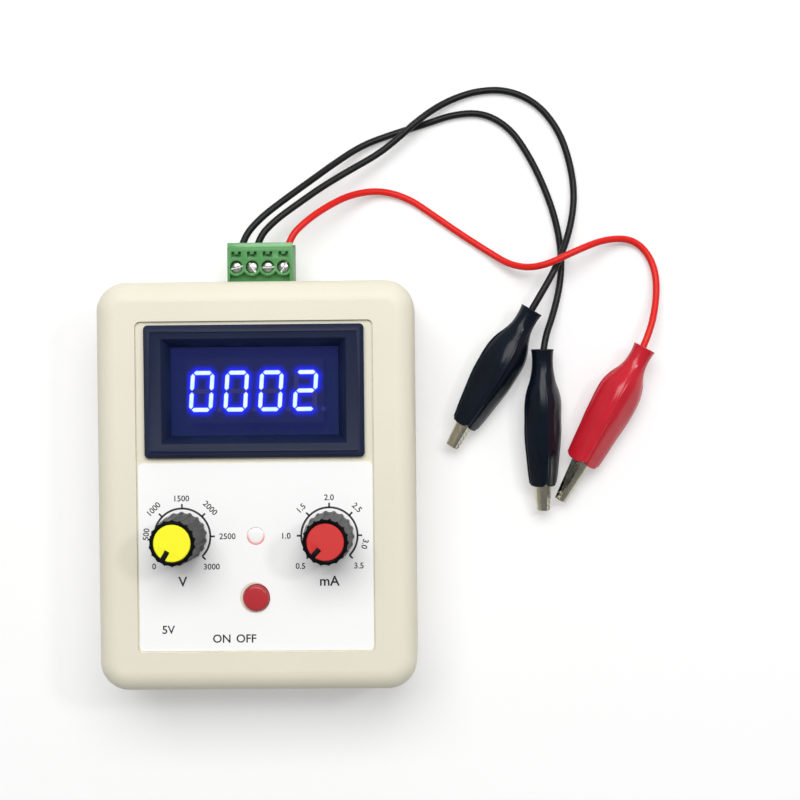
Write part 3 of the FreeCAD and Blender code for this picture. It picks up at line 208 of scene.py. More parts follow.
def seen_directly(tree):
    """1 for rays that show the background, 0 for rays that only light the object."""
    path = add(tree, "ShaderNodeLightPath")
    total = path.outputs[SEEN_RAYS[0]]
    for word in SEEN_RAYS[1:]:
        total = add(tree, "ShaderNodeMath", {0: total, 1: path.outputs[word]},
                    operation="MAXIMUM").outputs[0]
    return total


table_white, tree = blank("white_table")
paper = add(tree, "ShaderNodeBsdfDiffuse", {"Color": linear("#DDDDDD")})
lift = add(tree, "ShaderNodeMath", {0: seen_directly(tree), 1: OWN_LIGHT}, operation="MULTIPLY")
glow = add(tree, "ShaderNodeEmission", {"Color": linear("#FFFFFF"), "Strength": lift.outputs[0]})
both = add(tree, "ShaderNodeAddShader", {0: paper.outputs[0], 1: glow.outputs[0]})
add(tree, "ShaderNodeOutputMaterial", {"Surface": both.outputs[0]})

bm = bmesh.new()
bmesh.ops.create_grid(bm, x_segments=2, y_segments=2, size=HALF_TABLE)
bmesh.ops.translate(bm, verts=bm.verts, vec=(0, 0, FLOOR * MM))
floor = plain_object("table_top", bm)
floor.data.materials.append(table_white)
print("floor at", FLOOR, "mm")

# %% World and lamps
HORIZON, OVERHEAD = 0.6, 0.34  # strength of the room's light at two heights
AWAY, TOWARDS = 0.45, 1.1  # shares of it on the side away from the window and on its own side
world = bpy.data.worlds.new("soft_room")
scene.world = world
world.use_nodes = True
tree = world.node_tree
tree.nodes.clear()
where = add(tree, "ShaderNodeTexCoord")
heading = add(tree, "ShaderNodeSeparateXYZ", {0: where.outputs["Generated"]})
level = add(tree, "ShaderNodeMapRange",
            {"Value": heading.outputs["Z"], "To Min": HORIZON, "To Max": OVERHEAD})
facing = add(tree, "ShaderNodeMapRange",
             {"Value": heading.outputs["Y"], "From Min": -1, "To Min": AWAY, "To Max": TOWARDS})
dim = add(tree, "ShaderNodeMath", {0: level.outputs["Result"], 1: facing.outputs["Result"]},
          operation="MULTIPLY")
sky = add(tree, "ShaderNodeBackground", {"Color": linear("#FFFFFF"), "Strength": dim.outputs[0]})
add(tree, "ShaderNodeOutputWorld", {"Surface": sky.outputs[0]})
scene.view_settings.view_transform = "Standard"


def lamp(name, place, aim, size, power):
    """Area lamp in metres and watts, turned towards a point."""
    data = bpy.data.lights.new(name, "AREA")
    data.shape = "RECTANGLE"
    data.size, data.size_y = size
    data.energy = power
    made = bpy.data.objects.new(name, data)
    made.location = place
    made.rotation_euler = (Vector(aim) - Vector(place)).to_track_quat("-Z", "Y").to_euler()
    scene.collection.objects.link(made)


lamp("window_light", (0.0, 0.42, 0.88), (0.03, 0.02, 0), (0.8, 0.5), 7.0)
lamp("bench_lamp", (0.45, 0.22, 0.75), (0.05, 0.03, 0), (0.09, 0.09), 1.0)

# %% [markdown]
# ## The leads
# Each lead is limp PVC wire 1.6 mm thick, bent by hand and left lying on the table. A tube of
# straight runs and arcs looks like bent rod, so the route's points become the control points of one
# NURBS curve. Order 3 with clamped ends keeps it close to the route, and must be set after the
# points are there, or Blender falls back to straight runs.

# %% Routes of the leads, in millimetres
POLES = [-4.55, -1.05, 2.45, 5.95]  # x of the four wire entries
CLAMP_Y, CLAMP_Z = 51.1, 12.85  # where a wire ends in its clamp
OUT_X, OUT_Y, OUT_Z = 0.7, 55.3, 12.7  # where it leaves the plug, X from its pole
LEAD_WIDTH = 1.6
ROUTES = {  # pole, and the points from the plug to the clip
    "black_lead_1": (0, [
        (0.1, 60.0, 11.9), (5.6, 64.4, 10.1), (11.0, 68.6, 7.6), (16.8, 73.2, 4.6),
        (23.0, 77.6, 2.0), (30.2, 80.3, 0.9), (37.4, 82.4, 0.85), (44.6, 84.8, 0.85),
        (51.6, 85.0, 0.85), (57.6, 81.4, 0.85), (61.8, 75.2, 0.85), (65.2, 68.2, 0.85),
        (67.9, 60.6, 0.85), (69.3, 53.0, 0.85), (69.2, 46.0, 1.0), (67.4, 38.4, 2.6),
        (64.4, 30.6, 5.4), (64.4, 23.8, 5.13)]),
    "black_lead_2": (1, [
        (3.4, 59.4, 11.9), (9.0, 63.6, 10.3), (14.4, 67.6, 8.3), (20.8, 71.6, 6.2),
        (26.6, 75.0, 4.6), (31.0, 78.4, 4.1), (36.6, 83.4, 4.0), (42.6, 87.6, 1.6),
        (49.8, 90.2, 0.85), (57.2, 90.3, 0.85), (63.8, 87.2, 0.85), (68.6, 81.4, 0.85),
        (71.3, 74.2, 0.85), (72.6, 65.8, 0.9), (71.3, 57.3, 2.2), (67.8, 48.5, 5.3),
        (62.82, 40.23, 6.18), (59.35, 34.38, 5.76)]),
    "red_lead": (3, [
        (10.6, 59.4, 11.4), (15.2, 62.9, 8.6), (20.6, 66.0, 4.6), (27.2, 67.2, 1.6),
        (33.8, 65.3, 0.85), (39.4, 61.4, 0.85), (45.6, 57.0, 0.85), (52.0, 52.8, 0.95),
        (57.8, 49.0, 3.2), (64.0, 48.4, 7.4), (72.6, 52.4, 7.8), (79.6, 55.2, 3.8),
        (86.4, 55.2, 1.0), (90.7, 50.2, 0.85), (91.5, 42.6, 2.4), (88.82, 31.59, 6.39),
        (83.59, 22.15, 5.69)]),
}
print("routes", {name: len(spots) for name, (pole, spots) in ROUTES.items()})

# %% [markdown]
# The insulation is extruded PVC: satin, and slightly uneven along its length. Black and red both
# keep a deep colour with one soft highlight along the top.

# %% Lead insulation
pvc_black = grained("extruded_black_pvc", "#07080A", "#0E1012", 6, 0.5, 0.012, (0.36, 0.48),
                    **{"Specular IOR Level": 0.28})
pvc_red = grained("extruded_red_pvc", "#D8140E", "#E62018", 6, 0.5, 0.010, (0.34, 0.46),
                  **{"Specular IOR Level": 0.3})


def make_lead(name, pole, spots, material):
    """Round wire on one open NURBS spline; returns the curve object and its points."""
    x = POLES[pole]
    route = [(x, CLAMP_Y, CLAMP_Z), (x + OUT_X, OUT_Y, OUT_Z), *spots]
    points = [Vector(p) * MM for p in route]
    curve = bpy.data.curves.new(name + "_wire", "CURVE")
    curve.dimensions = "3D"
    line = curve.splines.new("NURBS")
    line.points.add(len(points) - 1)
    for knot, place in zip(line.points, points):
        knot.co = (*place, 1)
    line.order_u = 3
    line.use_endpoint_u = True
    line.resolution_u = 8
    curve.bevel_depth = LEAD_WIDTH / 2 * MM
    curve.bevel_resolution = 5
    curve.use_fill_caps = True
    curve.materials.append(material)
    made = bpy.data.objects.new(name + "_wire", curve)
    scene.collection.objects.link(made)
    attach(made, "lead_set")
    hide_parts(name)
    return made, points


leads = {}
for name, (pole, spots) in ROUTES.items():
    leads[name] = make_lead(name, pole, spots, pvc_red if name == "red_lead" else pvc_black)
print("leads", {name: len(points) for name, (made, points) in leads.items()})

# %% [markdown]
# ## The clip sleeves
# Each clip wears a dip-moulded vinyl sleeve: four soft faces with ridges at the mouth, swollen
# over the finger pads, drawn into a round neck where the lead goes in. It is grown ring by ring:
# one circle is pulled out to a rounded square, then its edge is extruded and reshaped station by
# station. Solidify gives the wall, and a subdivision smooths the skin.

# %% Clip frames and sleeve finishes
PIVOT_REACH = 15  # from the lead's end to the clip's pivot, in millimetres
CLIP_LEADS = {"left_clip": ("black_lead_2", 150.0),  # its lead, and its roll in degrees
              "middle_clip": ("black_lead_1", 150.0),
              "red_clip": ("red_lead", -130.0)}
SLEEVES = {"left_clip": (10.5, 4.5, 0.7, 30.8),  # mouth from the pivot, bulge, slimmer mouth, length
           "middle_clip": (10.5, 3.6, 0.7, 31.5),
           "red_clip": (6.1, 4.7, 0.0, 30.0)}
vinyl_black = grained("dipped_black_vinyl", "#070E18", "#0E1825", 5, 1.8, 0.04, (0.18, 0.26),
                      **{"Specular IOR Level": 0.2})
vinyl_red = grained("dipped_red_vinyl", "#BE1426", "#CE2032", 7, 2.2, 0.03, (0.16, 0.24),
                    **{"Specular IOR Level": 0.4})


def clip_frame(name):
    """Axes of a clip at its pivot: X to the jaw tips, Y the pivot pin, Z the fixed jaw's back."""
    lead, roll = CLIP_LEADS[name]
    points = leads[lead][1]
    along = (points[-1] - points[-2]).normalized()
    side = Vector((0, 0, 1)).cross(along).normalized()
    upright = along.cross(side)
    tilt = math.radians(roll)
    back = upright * math.cos(tilt) + side * math.sin(tilt)
    hinge = back.cross(along)
    turn = Matrix((along, hinge, back)).transposed().to_4x4()
    return Matrix.Translation(points[-1] + along * PIVOT_REACH * MM) @ turn


print("pivot heights", {name: round(clip_frame(name).translation.z / MM, 2) for name in CLIP_LEADS})


# %% Grow the sleeves
SLEEVE_SIDES, SLEEVE_WALL = 40, 0.6
MOUTH_HALF = 3.25  # half width near the mouth, before it is slimmed
RIB = 0.28  # height of the mould ribs along a sleeve's corners
RIB_END = 24  # how far they run from the mouth
SCALLOP = 0.4  # depth of the wave in the mouth's edge
CREASE = 0.16  # height of the creases in the skin
CREASE_ALONG, CREASE_ACROSS = 260, 420  # how many there are in a metre


def squared(turn, half_side, half_back, power):
    """Point on a rounded square; power 2 is an ellipse, 5 is nearly square."""
    c, s = math.cos(turn), math.sin(turn)
    return (half_side * math.copysign(abs(c) ** (2 / power), c),
            half_back * math.copysign(abs(s) ** (2 / power), s))


def make_sleeve(name, material):
    """Dip-moulded sleeve of one clip, grown from its mouth to its neck."""
    mouth, bulge, slim, length = SLEEVES[name]
    shoulder = bulge - MOUTH_HALF
    stations = [  # from the mouth: distance, half width, half height, squareness, scallop
        (0.0, 3.2 - slim, 3.1 - 0.6 * slim, 4.5, 1.0), (0.5, 3.25 - slim, 3.15 - 0.6 * slim, 4.5, 0.85),
        (3.5, 3.3 - 0.7 * slim + 0.2 * shoulder, 3.3 - 0.3 * slim, 4.3, 0.3),
        (8.0, 3.3 - 0.3 * slim + 0.45 * shoulder, 3.55, 3.9, 0.0),
        (12.5, 3.3 + 0.8 * shoulder, 3.95, 3.5, 0.0), (15.5, bulge - 0.1, 4.15, 3.3, 0.0),
        (18.3, bulge, 4.2, 3.1, 0.0), (20.6, bulge * 0.95, 4.0, 2.9, 0.0),
        (22.8, bulge * 0.8, 3.6, 2.6, 0.0), (24.8, 0.35 * bulge + 1.5, 2.95, 2.3, 0.0),
        (26.8, 2.5, 2.5, 2.1, 0.0), (29.2, 2.42, 2.42, 2.0, 0.0), (31.0, 2.55, 2.55, 2.0, 0.0),
        (31.5, 2.6, 2.6, 2.0, 0.0)]
    bm = bmesh.new()
    turn = bm.verts.layers.float.new("turn")
    ring = bmesh.ops.create_circle(bm, segments=SLEEVE_SIDES, radius=1.0)["verts"]
    edges = list(bm.edges)
    for spot in ring:
        spot[turn] = math.atan2(spot.co.y, spot.co.x)
    for n, (far, half_side, half_back, power, scallop) in enumerate(stations):
        if n:
            grown = bmesh.ops.extrude_edge_only(bm, edges=edges)["geom"]
            ring = [g for g in grown if isinstance(g, bmesh.types.BMVert)]
            edges = [g for g in grown if isinstance(g, bmesh.types.BMEdge)]
        for spot in ring:
            across, up = squared(spot[turn], half_side, half_back, power)
            corner = -math.cos(4 * spot[turn])  # 1 on the four corners, -1 on the four flats
            rib = RIB if corner > 0.99 and far < RIB_END else 0.0
            back = far * length / stations[-1][0]
            spot.co = Vector((mouth - back - SCALLOP * scallop * corner, across, up)) * MM
            spot.co += Vector((0, across, up)).normalized() * rib * MM
    bmesh.ops.subdivide_edges(bm, edges=bm.edges, cuts=1, smooth=0.6, use_grid_fill=True)
    for spot in bm.verts:  # slight creases where the vinyl was pulled over the pads
        u = (mouth - spot.co.x / MM) / length
        swell = math.sin(math.pi * min(max(u, 0), 1)) ** 2
        cell = Vector((spot.co.x * CREASE_ALONG, spot.co.y * CREASE_ACROSS, spot.co.z * CREASE_ACROSS))
        ripple = noise.noise(cell + Vector((mouth, CLIP_LEADS[name][1], 0))) * CREASE * swell
        outward = Vector((0, spot.co.y, spot.co.z)).normalized()
        spot.co += outward * ripple * MM
    bmesh.ops.recalc_face_normals(bm, faces=bm.faces)
    bm.transform(clip_frame(name))
    return finished(name + "_sleeve", bm, material, wall=SLEEVE_WALL, smooth_levels=1)


# %% [markdown]
# A sleeve has to bend with its clip: its mouth stretches between the two jaws, while the neck stays
# on the lead. The point that this bend would run towards is worked out, from the pivot towards the
# moving jaw's back and leaning forward to keep the neck out of it, but the sleeve is not bent here.

# %% Dress the clips
BEND_LEAN, BEND_REACH = 17.5, 6.0  # degrees forward, and millimetres from no bend to the whole of it
for name in CLIP_LEADS:
    made = make_sleeve(name, vinyl_red if name == "red_clip" else vinyl_black)
    place = clip_frame(name)
    pivot, along, back = place.translation, place.col[0].to_3d(), place.col[2].to_3d()
    lean = math.radians(BEND_LEAN)
    far = pivot + (along * math.sin(lean) - back * math.cos(lean)) * BEND_REACH * MM
    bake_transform(made)
    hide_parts(name + "_boot")

# %% [markdown]
# ## The case
# Both covers are injection-moulded ABS in a warm cream. The mould was spark eroded, so the skin
# has a fine matte grain without direction. The covers carry their fillets from the CAD model and
# only need the finish. Smaller mouldings arrive with knife edges that no light catches, so those
# get a merged copy: the flat triangles are dissolved, the edges get a small bevel, and faces that
# meet at a shallow angle are shaded as one curve.

# %% Merge, bevel and smooth a CAD piece
SHARP = math.radians(32)  # faces that meet at less are shaded as one curve
FLAT = math.radians(0.4)  # triangles that meet at less become one face
SAME_SPOT = 0.001 * MM  # vertices nearer than this are one


def refined(node, body, material, bevel=0.0, over=50, reshape=None):
    """Merged copy of a CAD node, its edges sharper than some degrees softened."""
    bm = bmesh.new()
    bm.from_mesh(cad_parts[node].data)
    bmesh.ops.remove_doubles(bm, verts=bm.verts, dist=SAME_SPOT)
    bmesh.ops.dissolve_limit(bm, angle_limit=FLAT, verts=bm.verts, edges=bm.edges)
    if reshape:
        reshape(bm)
    for face in bm.faces:
        face.smooth = True
    if bevel:
        keen = [e for e in bm.edges if e.is_manifold and e.calc_face_angle() > math.radians(over)]
        bmesh.ops.bevel(bm, geom=keen, offset=bevel * MM, offset_type="OFFSET", affect="EDGES",
                        segments=2, profile=0.5, material=-1, clamp_overlap=True)
    for edge in bm.edges:
        edge.smooth = edge.is_manifold and edge.calc_face_angle() < SHARP
    made = plain_object(node + "_refined", bm)
    made.data.materials.append(material)
    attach(made, body)
    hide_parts(node)
    return made


def coat(material, *names):
    """Give CAD nodes a finish and leave their shape alone."""
    for name in names:
        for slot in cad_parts[name].material_slots:
            slot.link = "OBJECT"
            slot.material = material


# %% Case plastic
abs_cream = grained("spark_eroded_cream_abs", "#E2DDC9", "#E8E3D0", 18, 0.35, 0.035, (0.42, 0.56))
coat(abs_cream, "rear_cover", "front_cover")
print("case finish", abs_cream.name)

# %% [markdown]
# ## The film label
# A polycarbonate film, printed and stuck into the recess. It is whiter than the case and has a
# soft gloss. The print is ink on its face: a ring with seven ticks round each knob, plain numbers,
# the inlet's voltage and the two switch positions. Each mark is a real shape about a hundredth of a
# millimetre thick, which stays crisp at any distance.

# %% Film and ink
film_white = grained("printed_polycarbonate_film", "#FAFAF9", "#FDFDFD", 25, 0.25, 0.004, (0.26, 0.34))
ink_black = grained("screen_printed_black_ink", "#1B1B1D", "#2A2A2D", 2, 0.2, 0.003, (0.4, 0.5))
coat(film_white, "front_label")
label_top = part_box("front_label")[1].z
INK = 0.012 * MM
CAPITAL = 0.69  # height of a capital in a font of size 1
INK_SPREAD = 0.014  # how much the ink fattens each stroke, in the same font
RING_STEPS = 72
TICK_SHARE = 0.9  # width of a tick as a share of the ring's


def inked(bm):
    """Raise flat faces into a layer of ink on the film."""
    flat = bmesh.ops.extrude_face_region(bm, geom=bm.faces[:])["geom"]
    tops = [g for g in flat if isinstance(g, bmesh.types.BMVert)]
    bmesh.ops.translate(bm, verts=tops, vec=(0, 0, INK))
    bmesh.ops.translate(bm, verts=bm.verts, vec=(0, 0, label_top))
    bmesh.ops.recalc_face_normals(bm, faces=bm.faces)
    mesh = bpy.data.meshes.new("ink")
    bm.to_mesh(mesh)
    bm.free()
    return mesh


def ring_mark(x, y, radius, width, start, sweep, ticks, tick_length):
    """Printed arc with ticks on its outside; angles in degrees."""
    bm = bmesh.new()
    first = [bm.verts.new((r * MM, 0, 0)) for r in (radius - width / 2, radius + width / 2)]
    side = bm.edges.new(first)
    bmesh.ops.rotate(bm, verts=first, cent=(0, 0, 0), matrix=Matrix.Rotation(math.radians(start), 3, "Z"))
    bmesh.ops.spin(bm, geom=first + [side], cent=(0, 0, 0), axis=(0, 0, 1), angle=math.radians(sweep),
                   steps=RING_STEPS, use_merge=False)
    for n in range(ticks):
        turn = Matrix.Rotation(math.radians(start + sweep * n / (ticks - 1)), 4, "Z")
        out = Matrix.Translation(((radius + tick_length / 2) * MM, 0, 0))
        size = Matrix.Diagonal((tick_length * MM, width * TICK_SHARE * MM, 1, 1))
        bmesh.ops.create_grid(bm, x_segments=1, y_segments=1, size=0.5, matrix=turn @ out @ size)
    bmesh.ops.translate(bm, verts=bm.verts, vec=(x * MM, y * MM, 0))
    return inked(bm)


def lettering(words, x, y, height, turn=0.0):
    """Printed words of a capital height in millimetres, centred on a place."""
    curve = bpy.data.curves.new("words", "FONT")
    curve.body, curve.align_x, curve.align_y = words, "CENTER", "CENTER"
    curve.resolution_u = 3
    curve.offset = INK_SPREAD
    holder = bpy.data.objects.new("words", curve)
    scene.collection.objects.link(holder)
    bpy.context.view_layer.update()
    flat = bpy.data.meshes.new_from_object(holder.evaluated_get(bpy.context.evaluated_depsgraph_get()))
    bpy.data.objects.remove(holder)
    bm = bmesh.new()
    bm.from_mesh(flat)
    scale = height / CAPITAL * MM
    ys = [v.co.y for v in bm.verts]
    xs = [v.co.x for v in bm.verts]
    middle = Vector(((min(xs) + max(xs)) / 2, (min(ys) + max(ys)) / 2, 0))
    place = Matrix.Translation((x * MM, y * MM, 0)) @ Matrix.Rotation(math.radians(turn), 4, "Z")
    bm.transform(place @ Matrix.Scale(scale, 4) @ Matrix.Translation(-middle))
    return inked(bm)


print("ink lies at", round(label_top / MM, 2), "mm")

# %% Lay out the print
KNOB_X, KNOB_Y = 16.1, -10.79  # the knobs' centres, left and right of the middle
RING, RING_WIDTH, RING_START, RING_SWEEP = 6.15, 0.44, -45, 270
TICKS, TICK_LENGTH = 7, 1.0
NUMBER_HEIGHT, UNIT_HEIGHT, WORD_HEIGHT = 1.25, 2.1, 1.75
UNIT_DROP = 9.9  # from a knob's centre down to its unit
WORDS = [("ON", -7.7, -33.2), ("OFF", -2.3, -33.2), ("5V", -19.3, -31.2)]
# Number, angle round the dial, distance from its centre and turn of the text. The numbers at the
# label's edges stand upright along the ring, where there is no room to lie flat.
VOLTS = [("0", 226, 9.0, 0), ("500", 176, 7.95, 84), ("1000", 135, 8.7, 45), ("1500", 90, 8.35, 0),
         ("2000", 45, 8.8, -45), ("2500", 0, 9.9, 0), ("3000", -46, 9.2, 0)]
MILLIAMPS = [("0.5", 226, 9.2, 0), ("1.0", 180, 9.4, 0), ("1.5", 135, 8.6, 45), ("2.0", 90, 8.35, 0),
             ("2.5", 45, 8.6, -45), ("3.0", -14, 8.0, -104), ("3.5", -46, 9.2, 0)]
marks = []
for x, numbers, unit in ((-KNOB_X, VOLTS, "V"), (KNOB_X, MILLIAMPS, "mA")):
    marks.append(ring_mark(x, KNOB_Y, RING, RING_WIDTH, RING_START, RING_SWEEP, TICKS, TICK_LENGTH))
    for word, angle, far, turn in numbers:
        a = math.radians(angle)
        spot = (x + far * math.cos(a), KNOB_Y + far * math.sin(a))
        marks.append(lettering(word, *spot, NUMBER_HEIGHT, turn))
    marks.append(lettering(unit, x, KNOB_Y - UNIT_DROP, UNIT_HEIGHT))
for word, x, y in WORDS:
    marks.append(lettering(word, x, y, WORD_HEIGHT))
bm = bmesh.new()
for mesh in marks:
    bm.from_mesh(mesh)
label_print = plain_object("label_print", bm)
label_print.data.materials.append(ink_black)
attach(label_print, "case")
print("print faces", len(label_print.data.polygons))

# %% [markdown]
# ## The panel meter
# The bezel is black ABS that looks dark blue beside the display. Behind a smoked blue window sits
# the LED block, and its light spreads in the window as a blue halo round each lit bar. The halo is
# an attribute on a fine grid: the light falls off with the distance to the nearest lit bar, which
# a search tree over the CAD bars gives.

# %% Bezel and window
bezel_abs = grained("moulded_black_abs", "#0B1533", "#122040", 12, 0.4, 0.02, (0.34, 0.46),
                    **{"Specular IOR Level": 0.25})
refined("meter_bezel", "case", bezel_abs, bevel=0.12)

window_blue, tree = blank("smoked_blue_acrylic")
where = add(tree, "ShaderNodeTexCoord")
haze = add(tree, "ShaderNodeTexNoise",
           {"Vector": where.outputs["Object"], "Scale": per_mm(14), "Detail": 2.0})
tint = add(tree, "ShaderNodeMix", {0: haze.outputs["Fac"], 6: linear("#182466"), 7: linear("#262F7A")},
           data_type="RGBA")
pane = add(tree, "ShaderNodeBsdfPrincipled",
           {"Base Color": tint.outputs[2], "Roughness": 0.08, "IOR": 1.49, "Alpha": 0.42})
add(tree, "ShaderNodeOutputMaterial", {"Surface": pane.outputs["BSDF"]})
coat(window_blue, "meter_window")
print("meter", bezel_abs.name, window_blue.name)

# %% Display block with its halo
HALO_REACH = 0.75  # millimetres from a lit bar at which a third of its light is left
HALO_STRENGTH = 2.6
GRID_X, GRID_Y = 120, 56
low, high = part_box("meter_display")
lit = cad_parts["lit_segments"].data
tree_of_bars = BVHTree.FromPolygons([v.co for v in lit.vertices], [p.vertices for p in lit.polygons])
bm = bmesh.new()
stretch = Matrix.Diagonal((high.x - low.x, high.y - low.y, 1, 1))
place = Matrix.Translation(((low.x + high.x) / 2, (low.y + high.y) / 2, high.z))
bmesh.ops.create_grid(bm, x_segments=GRID_X, y_segments=GRID_Y, size=0.5, matrix=place @ stretch)
rim = [e for e in bm.edges if e.is_boundary]
grown = bmesh.ops.extrude_edge_only(bm, edges=rim)["geom"]
skirt = [g for g in grown if isinstance(g, bmesh.types.BMVert)]
bmesh.ops.translate(bm, verts=skirt, vec=(0, 0, low.z - high.z))
bmesh.ops.contextual_create(bm, geom=[e for e in bm.edges if e.is_boundary])
bmesh.ops.recalc_face_normals(bm, faces=bm.faces)
halo = bm.verts.layers.float.new("halo")
for spot in bm.verts:
    far = tree_of_bars.find_nearest(spot.co)[3] / MM
    spot[halo] = math.exp(-(far / HALO_REACH) ** 2) if spot.co.z > high.z - 0.01 * MM else 0.0
display_block = plain_object("display_block", bm)
print("halo grid", len(display_block.data.vertices))

display_epoxy, tree = blank("potted_led_block")
spread = add(tree, "ShaderNodeAttribute", attribute_name="halo")
where = add(tree, "ShaderNodeTexCoord")
grain = add(tree, "ShaderNodeTexNoise",
            {"Vector": where.outputs["Object"], "Scale": per_mm(0.8), "Detail": 2.0})
shade = add(tree, "ShaderNodeMix", {0: grain.outputs["Fac"], 6: linear("#15172E"), 7: linear("#1D2040")},
            data_type="RGBA")
strength = add(tree, "ShaderNodeMath", {0: spread.outputs["Fac"], 1: HALO_STRENGTH}, operation="MULTIPLY")
block = add(tree, "ShaderNodeBsdfPrincipled",
            {"Base Color": shade.outputs[2], "Roughness": 0.5, "Emission Color": linear("#0010FF"),
             "Emission Strength": strength.outputs[0]})
add(tree, "ShaderNodeOutputMaterial", {"Surface": block.outputs["BSDF"]})
display_block.data.materials.append(display_epoxy)
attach(display_block, "case")
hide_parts("meter_display")

# %% [markdown]
# Each lit bar burns out to white in the middle and keeps its blue at the edge, so the top of a bar
# is inset and an attribute runs from the edge to the core.

# %% Lit and dark bars
BAR_EDGE = 0.16  # width of the blue edge
bm = bmesh.new()
bm.from_mesh(lit)
bmesh.ops.remove_doubles(bm, verts=bm.verts, dist=SAME_SPOT)
bmesh.ops.dissolve_limit(bm, angle_limit=math.radians(1), verts=bm.verts, edges=bm.edges)
tops = [f for f in bm.faces if f.normal.z > 0.9]
bmesh.ops.inset_individual(bm, faces=tops, thickness=BAR_EDGE * MM, depth=0)
core = bm.verts.layers.float.new("core")
for face in tops:
    for spot in face.verts:
        spot[core] = 1.0
lit_bars = plain_object("lit_bars", bm)

lit_blue, tree = blank("lit_blue_led")
middle = add(tree, "ShaderNodeAttribute", attribute_name="core")
where = add(tree, "ShaderNodeTexCoord")
patchy = add(tree, "ShaderNodeTexNoise", {"Vector": where.outputs["Object"], "Scale": per_mm(1.6)})
white = add(tree, "ShaderNodeMix", {0: patchy.outputs["Fac"], 6: linear("#9FD8FF"), 7: linear("#FFFFFF")},
            data_type="RGBA")
colour = add(tree, "ShaderNodeMix",
             {0: middle.outputs["Fac"], 6: linear("#0A28FF"), 7: white.outputs[2]}, data_type="RGBA")
bar = add(tree, "ShaderNodeBsdfPrincipled",
          {"Base Color": linear("#8090FF"), "Roughness": 0.4, "Emission Color": colour.outputs[2],
           "Emission Strength": 3.4})
add(tree, "ShaderNodeOutputMaterial", {"Surface": bar.outputs["BSDF"]})
lit_bars.data.materials.append(lit_blue)
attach(lit_bars, "case")
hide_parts("lit_segments")
# the unlit bars get a faint emission of their own: a painted glow, since they give no light
unlit = grained("unlit_led_diffuser_painted_glow", "#4A4470", "#57507C", 3, 0.4, 0.004, (0.4, 0.5),
                **{"Emission Color": linear("#4A44A8"), "Emission Strength": 0.42})
coat(unlit, "dark_segments")
print("lit bars", len(lit_bars.data.polygons), "faces")

# %% [markdown]
# ## Knobs, button and lamp
# The knobs are black ABS with fluted skirts and a coloured cap pressed into the top. The pointer
# is a rib of the black body that shows through a notch in the cap. Small bevels on the edges give
# each flute its own thin highlight.

# %% Controls
knob_abs = grained("satin_black_abs", "#07080B", "#0C0E12", 6, 0.3, 0.012, (0.28, 0.4),
                   **{"Specular IOR Level": 0.07})
cap_yellow = grained("moulded_yellow_abs", "#F8F20C", "#FCF814", 5, 0.3, 0.008, (0.4, 0.5))
cap_red = grained("moulded_red_abs", "#C82625", "#D32E2C", 5, 0.3, 0.008, (0.4, 0.5))
button_red = grained("polished_red_abs", "#B02A33", "#BE343B", 5, 0.4, 0.004, (0.14, 0.22))
for word, cap in (("voltage", cap_yellow), ("current", cap_red)):
    refined(f"{word}_knob", f"{word}_control", knob_abs, bevel=0.06)
    refined(f"{word}_knob_cap", f"{word}_control", cap, bevel=0.08)
refined("start_button", "button", button_red, bevel=0.16, over=30)
print("controls", knob_abs.name, cap_yellow.name, cap_red.name, button_red.name)

# %% [markdown]
# The indicator is a clear lamp that is off: white, with a faint pink crescent along its lower rim,
# which is painted shade and a painted pink reflection of the red chip inside. The crescent is where
# two ranges overlap, one of the distance from the middle and one of the height across the lens.
# The lamp sits on the line between the two knobs.

# %% Indicator lamp
CRESCENT_IN, CRESCENT_OUT = 1.35 * MM, 1.85 * MM  # radii between which the pink sets in
PINK_FROM, PINK_TO = 0.9 * MM, -0.6 * MM  # heights across the lens between which it does
LAMP_FILL = 1.05  # the lens is cemented in, so no gap shows round it
lens_clear, tree = blank("clear_lamp_epoxy")
where = add(tree, "ShaderNodeTexCoord")
centred = add(tree, "ShaderNodeMapping", {"Vector": where.outputs["Object"],
              "Location": (0, -KNOB_Y * MM, 0), "Scale": (1, 1, 0)})
away = add(tree, "ShaderNodeVectorMath", {0: centred.outputs["Vector"]}, operation="LENGTH")
rim = add(tree, "ShaderNodeMapRange",
          {"Value": away.outputs["Value"], "From Min": CRESCENT_IN, "From Max": CRESCENT_OUT})
across = add(tree, "ShaderNodeSeparateXYZ", {0: centred.outputs["Vector"]})
lower = add(tree, "ShaderNodeMapRange",
            {"Value": across.outputs["Y"], "From Min": PINK_FROM, "From Max": PINK_TO})
reflection_crescent = add(tree, "ShaderNodeMath", {0: rim.outputs["Result"], 1: lower.outputs["Result"]},
               operation="MULTIPLY")
# painted pink reflection of the red chip, and painted shade, along the lens's lower rim
painted_pink_reflection = add(tree, "ShaderNodeMix", {0: reflection_crescent.outputs[0], 6: linear("#FFFDFC"), 7: linear("#F08C88")},
            data_type="RGBA")
lens = add(tree, "ShaderNodeBsdfPrincipled",
           {"Base Color": painted_pink_reflection.outputs[2], "Roughness": 0.12, "IOR": 1.5, "Transmission Weight": 0.04})
add(tree, "ShaderNodeOutputMaterial", {"Surface": lens.outputs["BSDF"]})


def fill_hole(bm):
    """Widen the lens to the edge of the hole that it is cemented into."""
    low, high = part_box("indicator_lamp")
    middle = Matrix.Translation(-(low + high) / 2)
    bmesh.ops.scale(bm, verts=bm.verts, vec=(LAMP_FILL, LAMP_FILL, 1), space=middle)


refined("indicator_lamp", "case", lens_clear, reshape=fill_hole)
print("lamp", lens_clear.name)

# %% [markdown]
# ## The terminal block
# The plug and the header are green polyamide, a plastic with a slight waxy sheen. The clamp cages
# and the contacts in it are tinned brass, and the other small fasteners are nickel-plated steel.

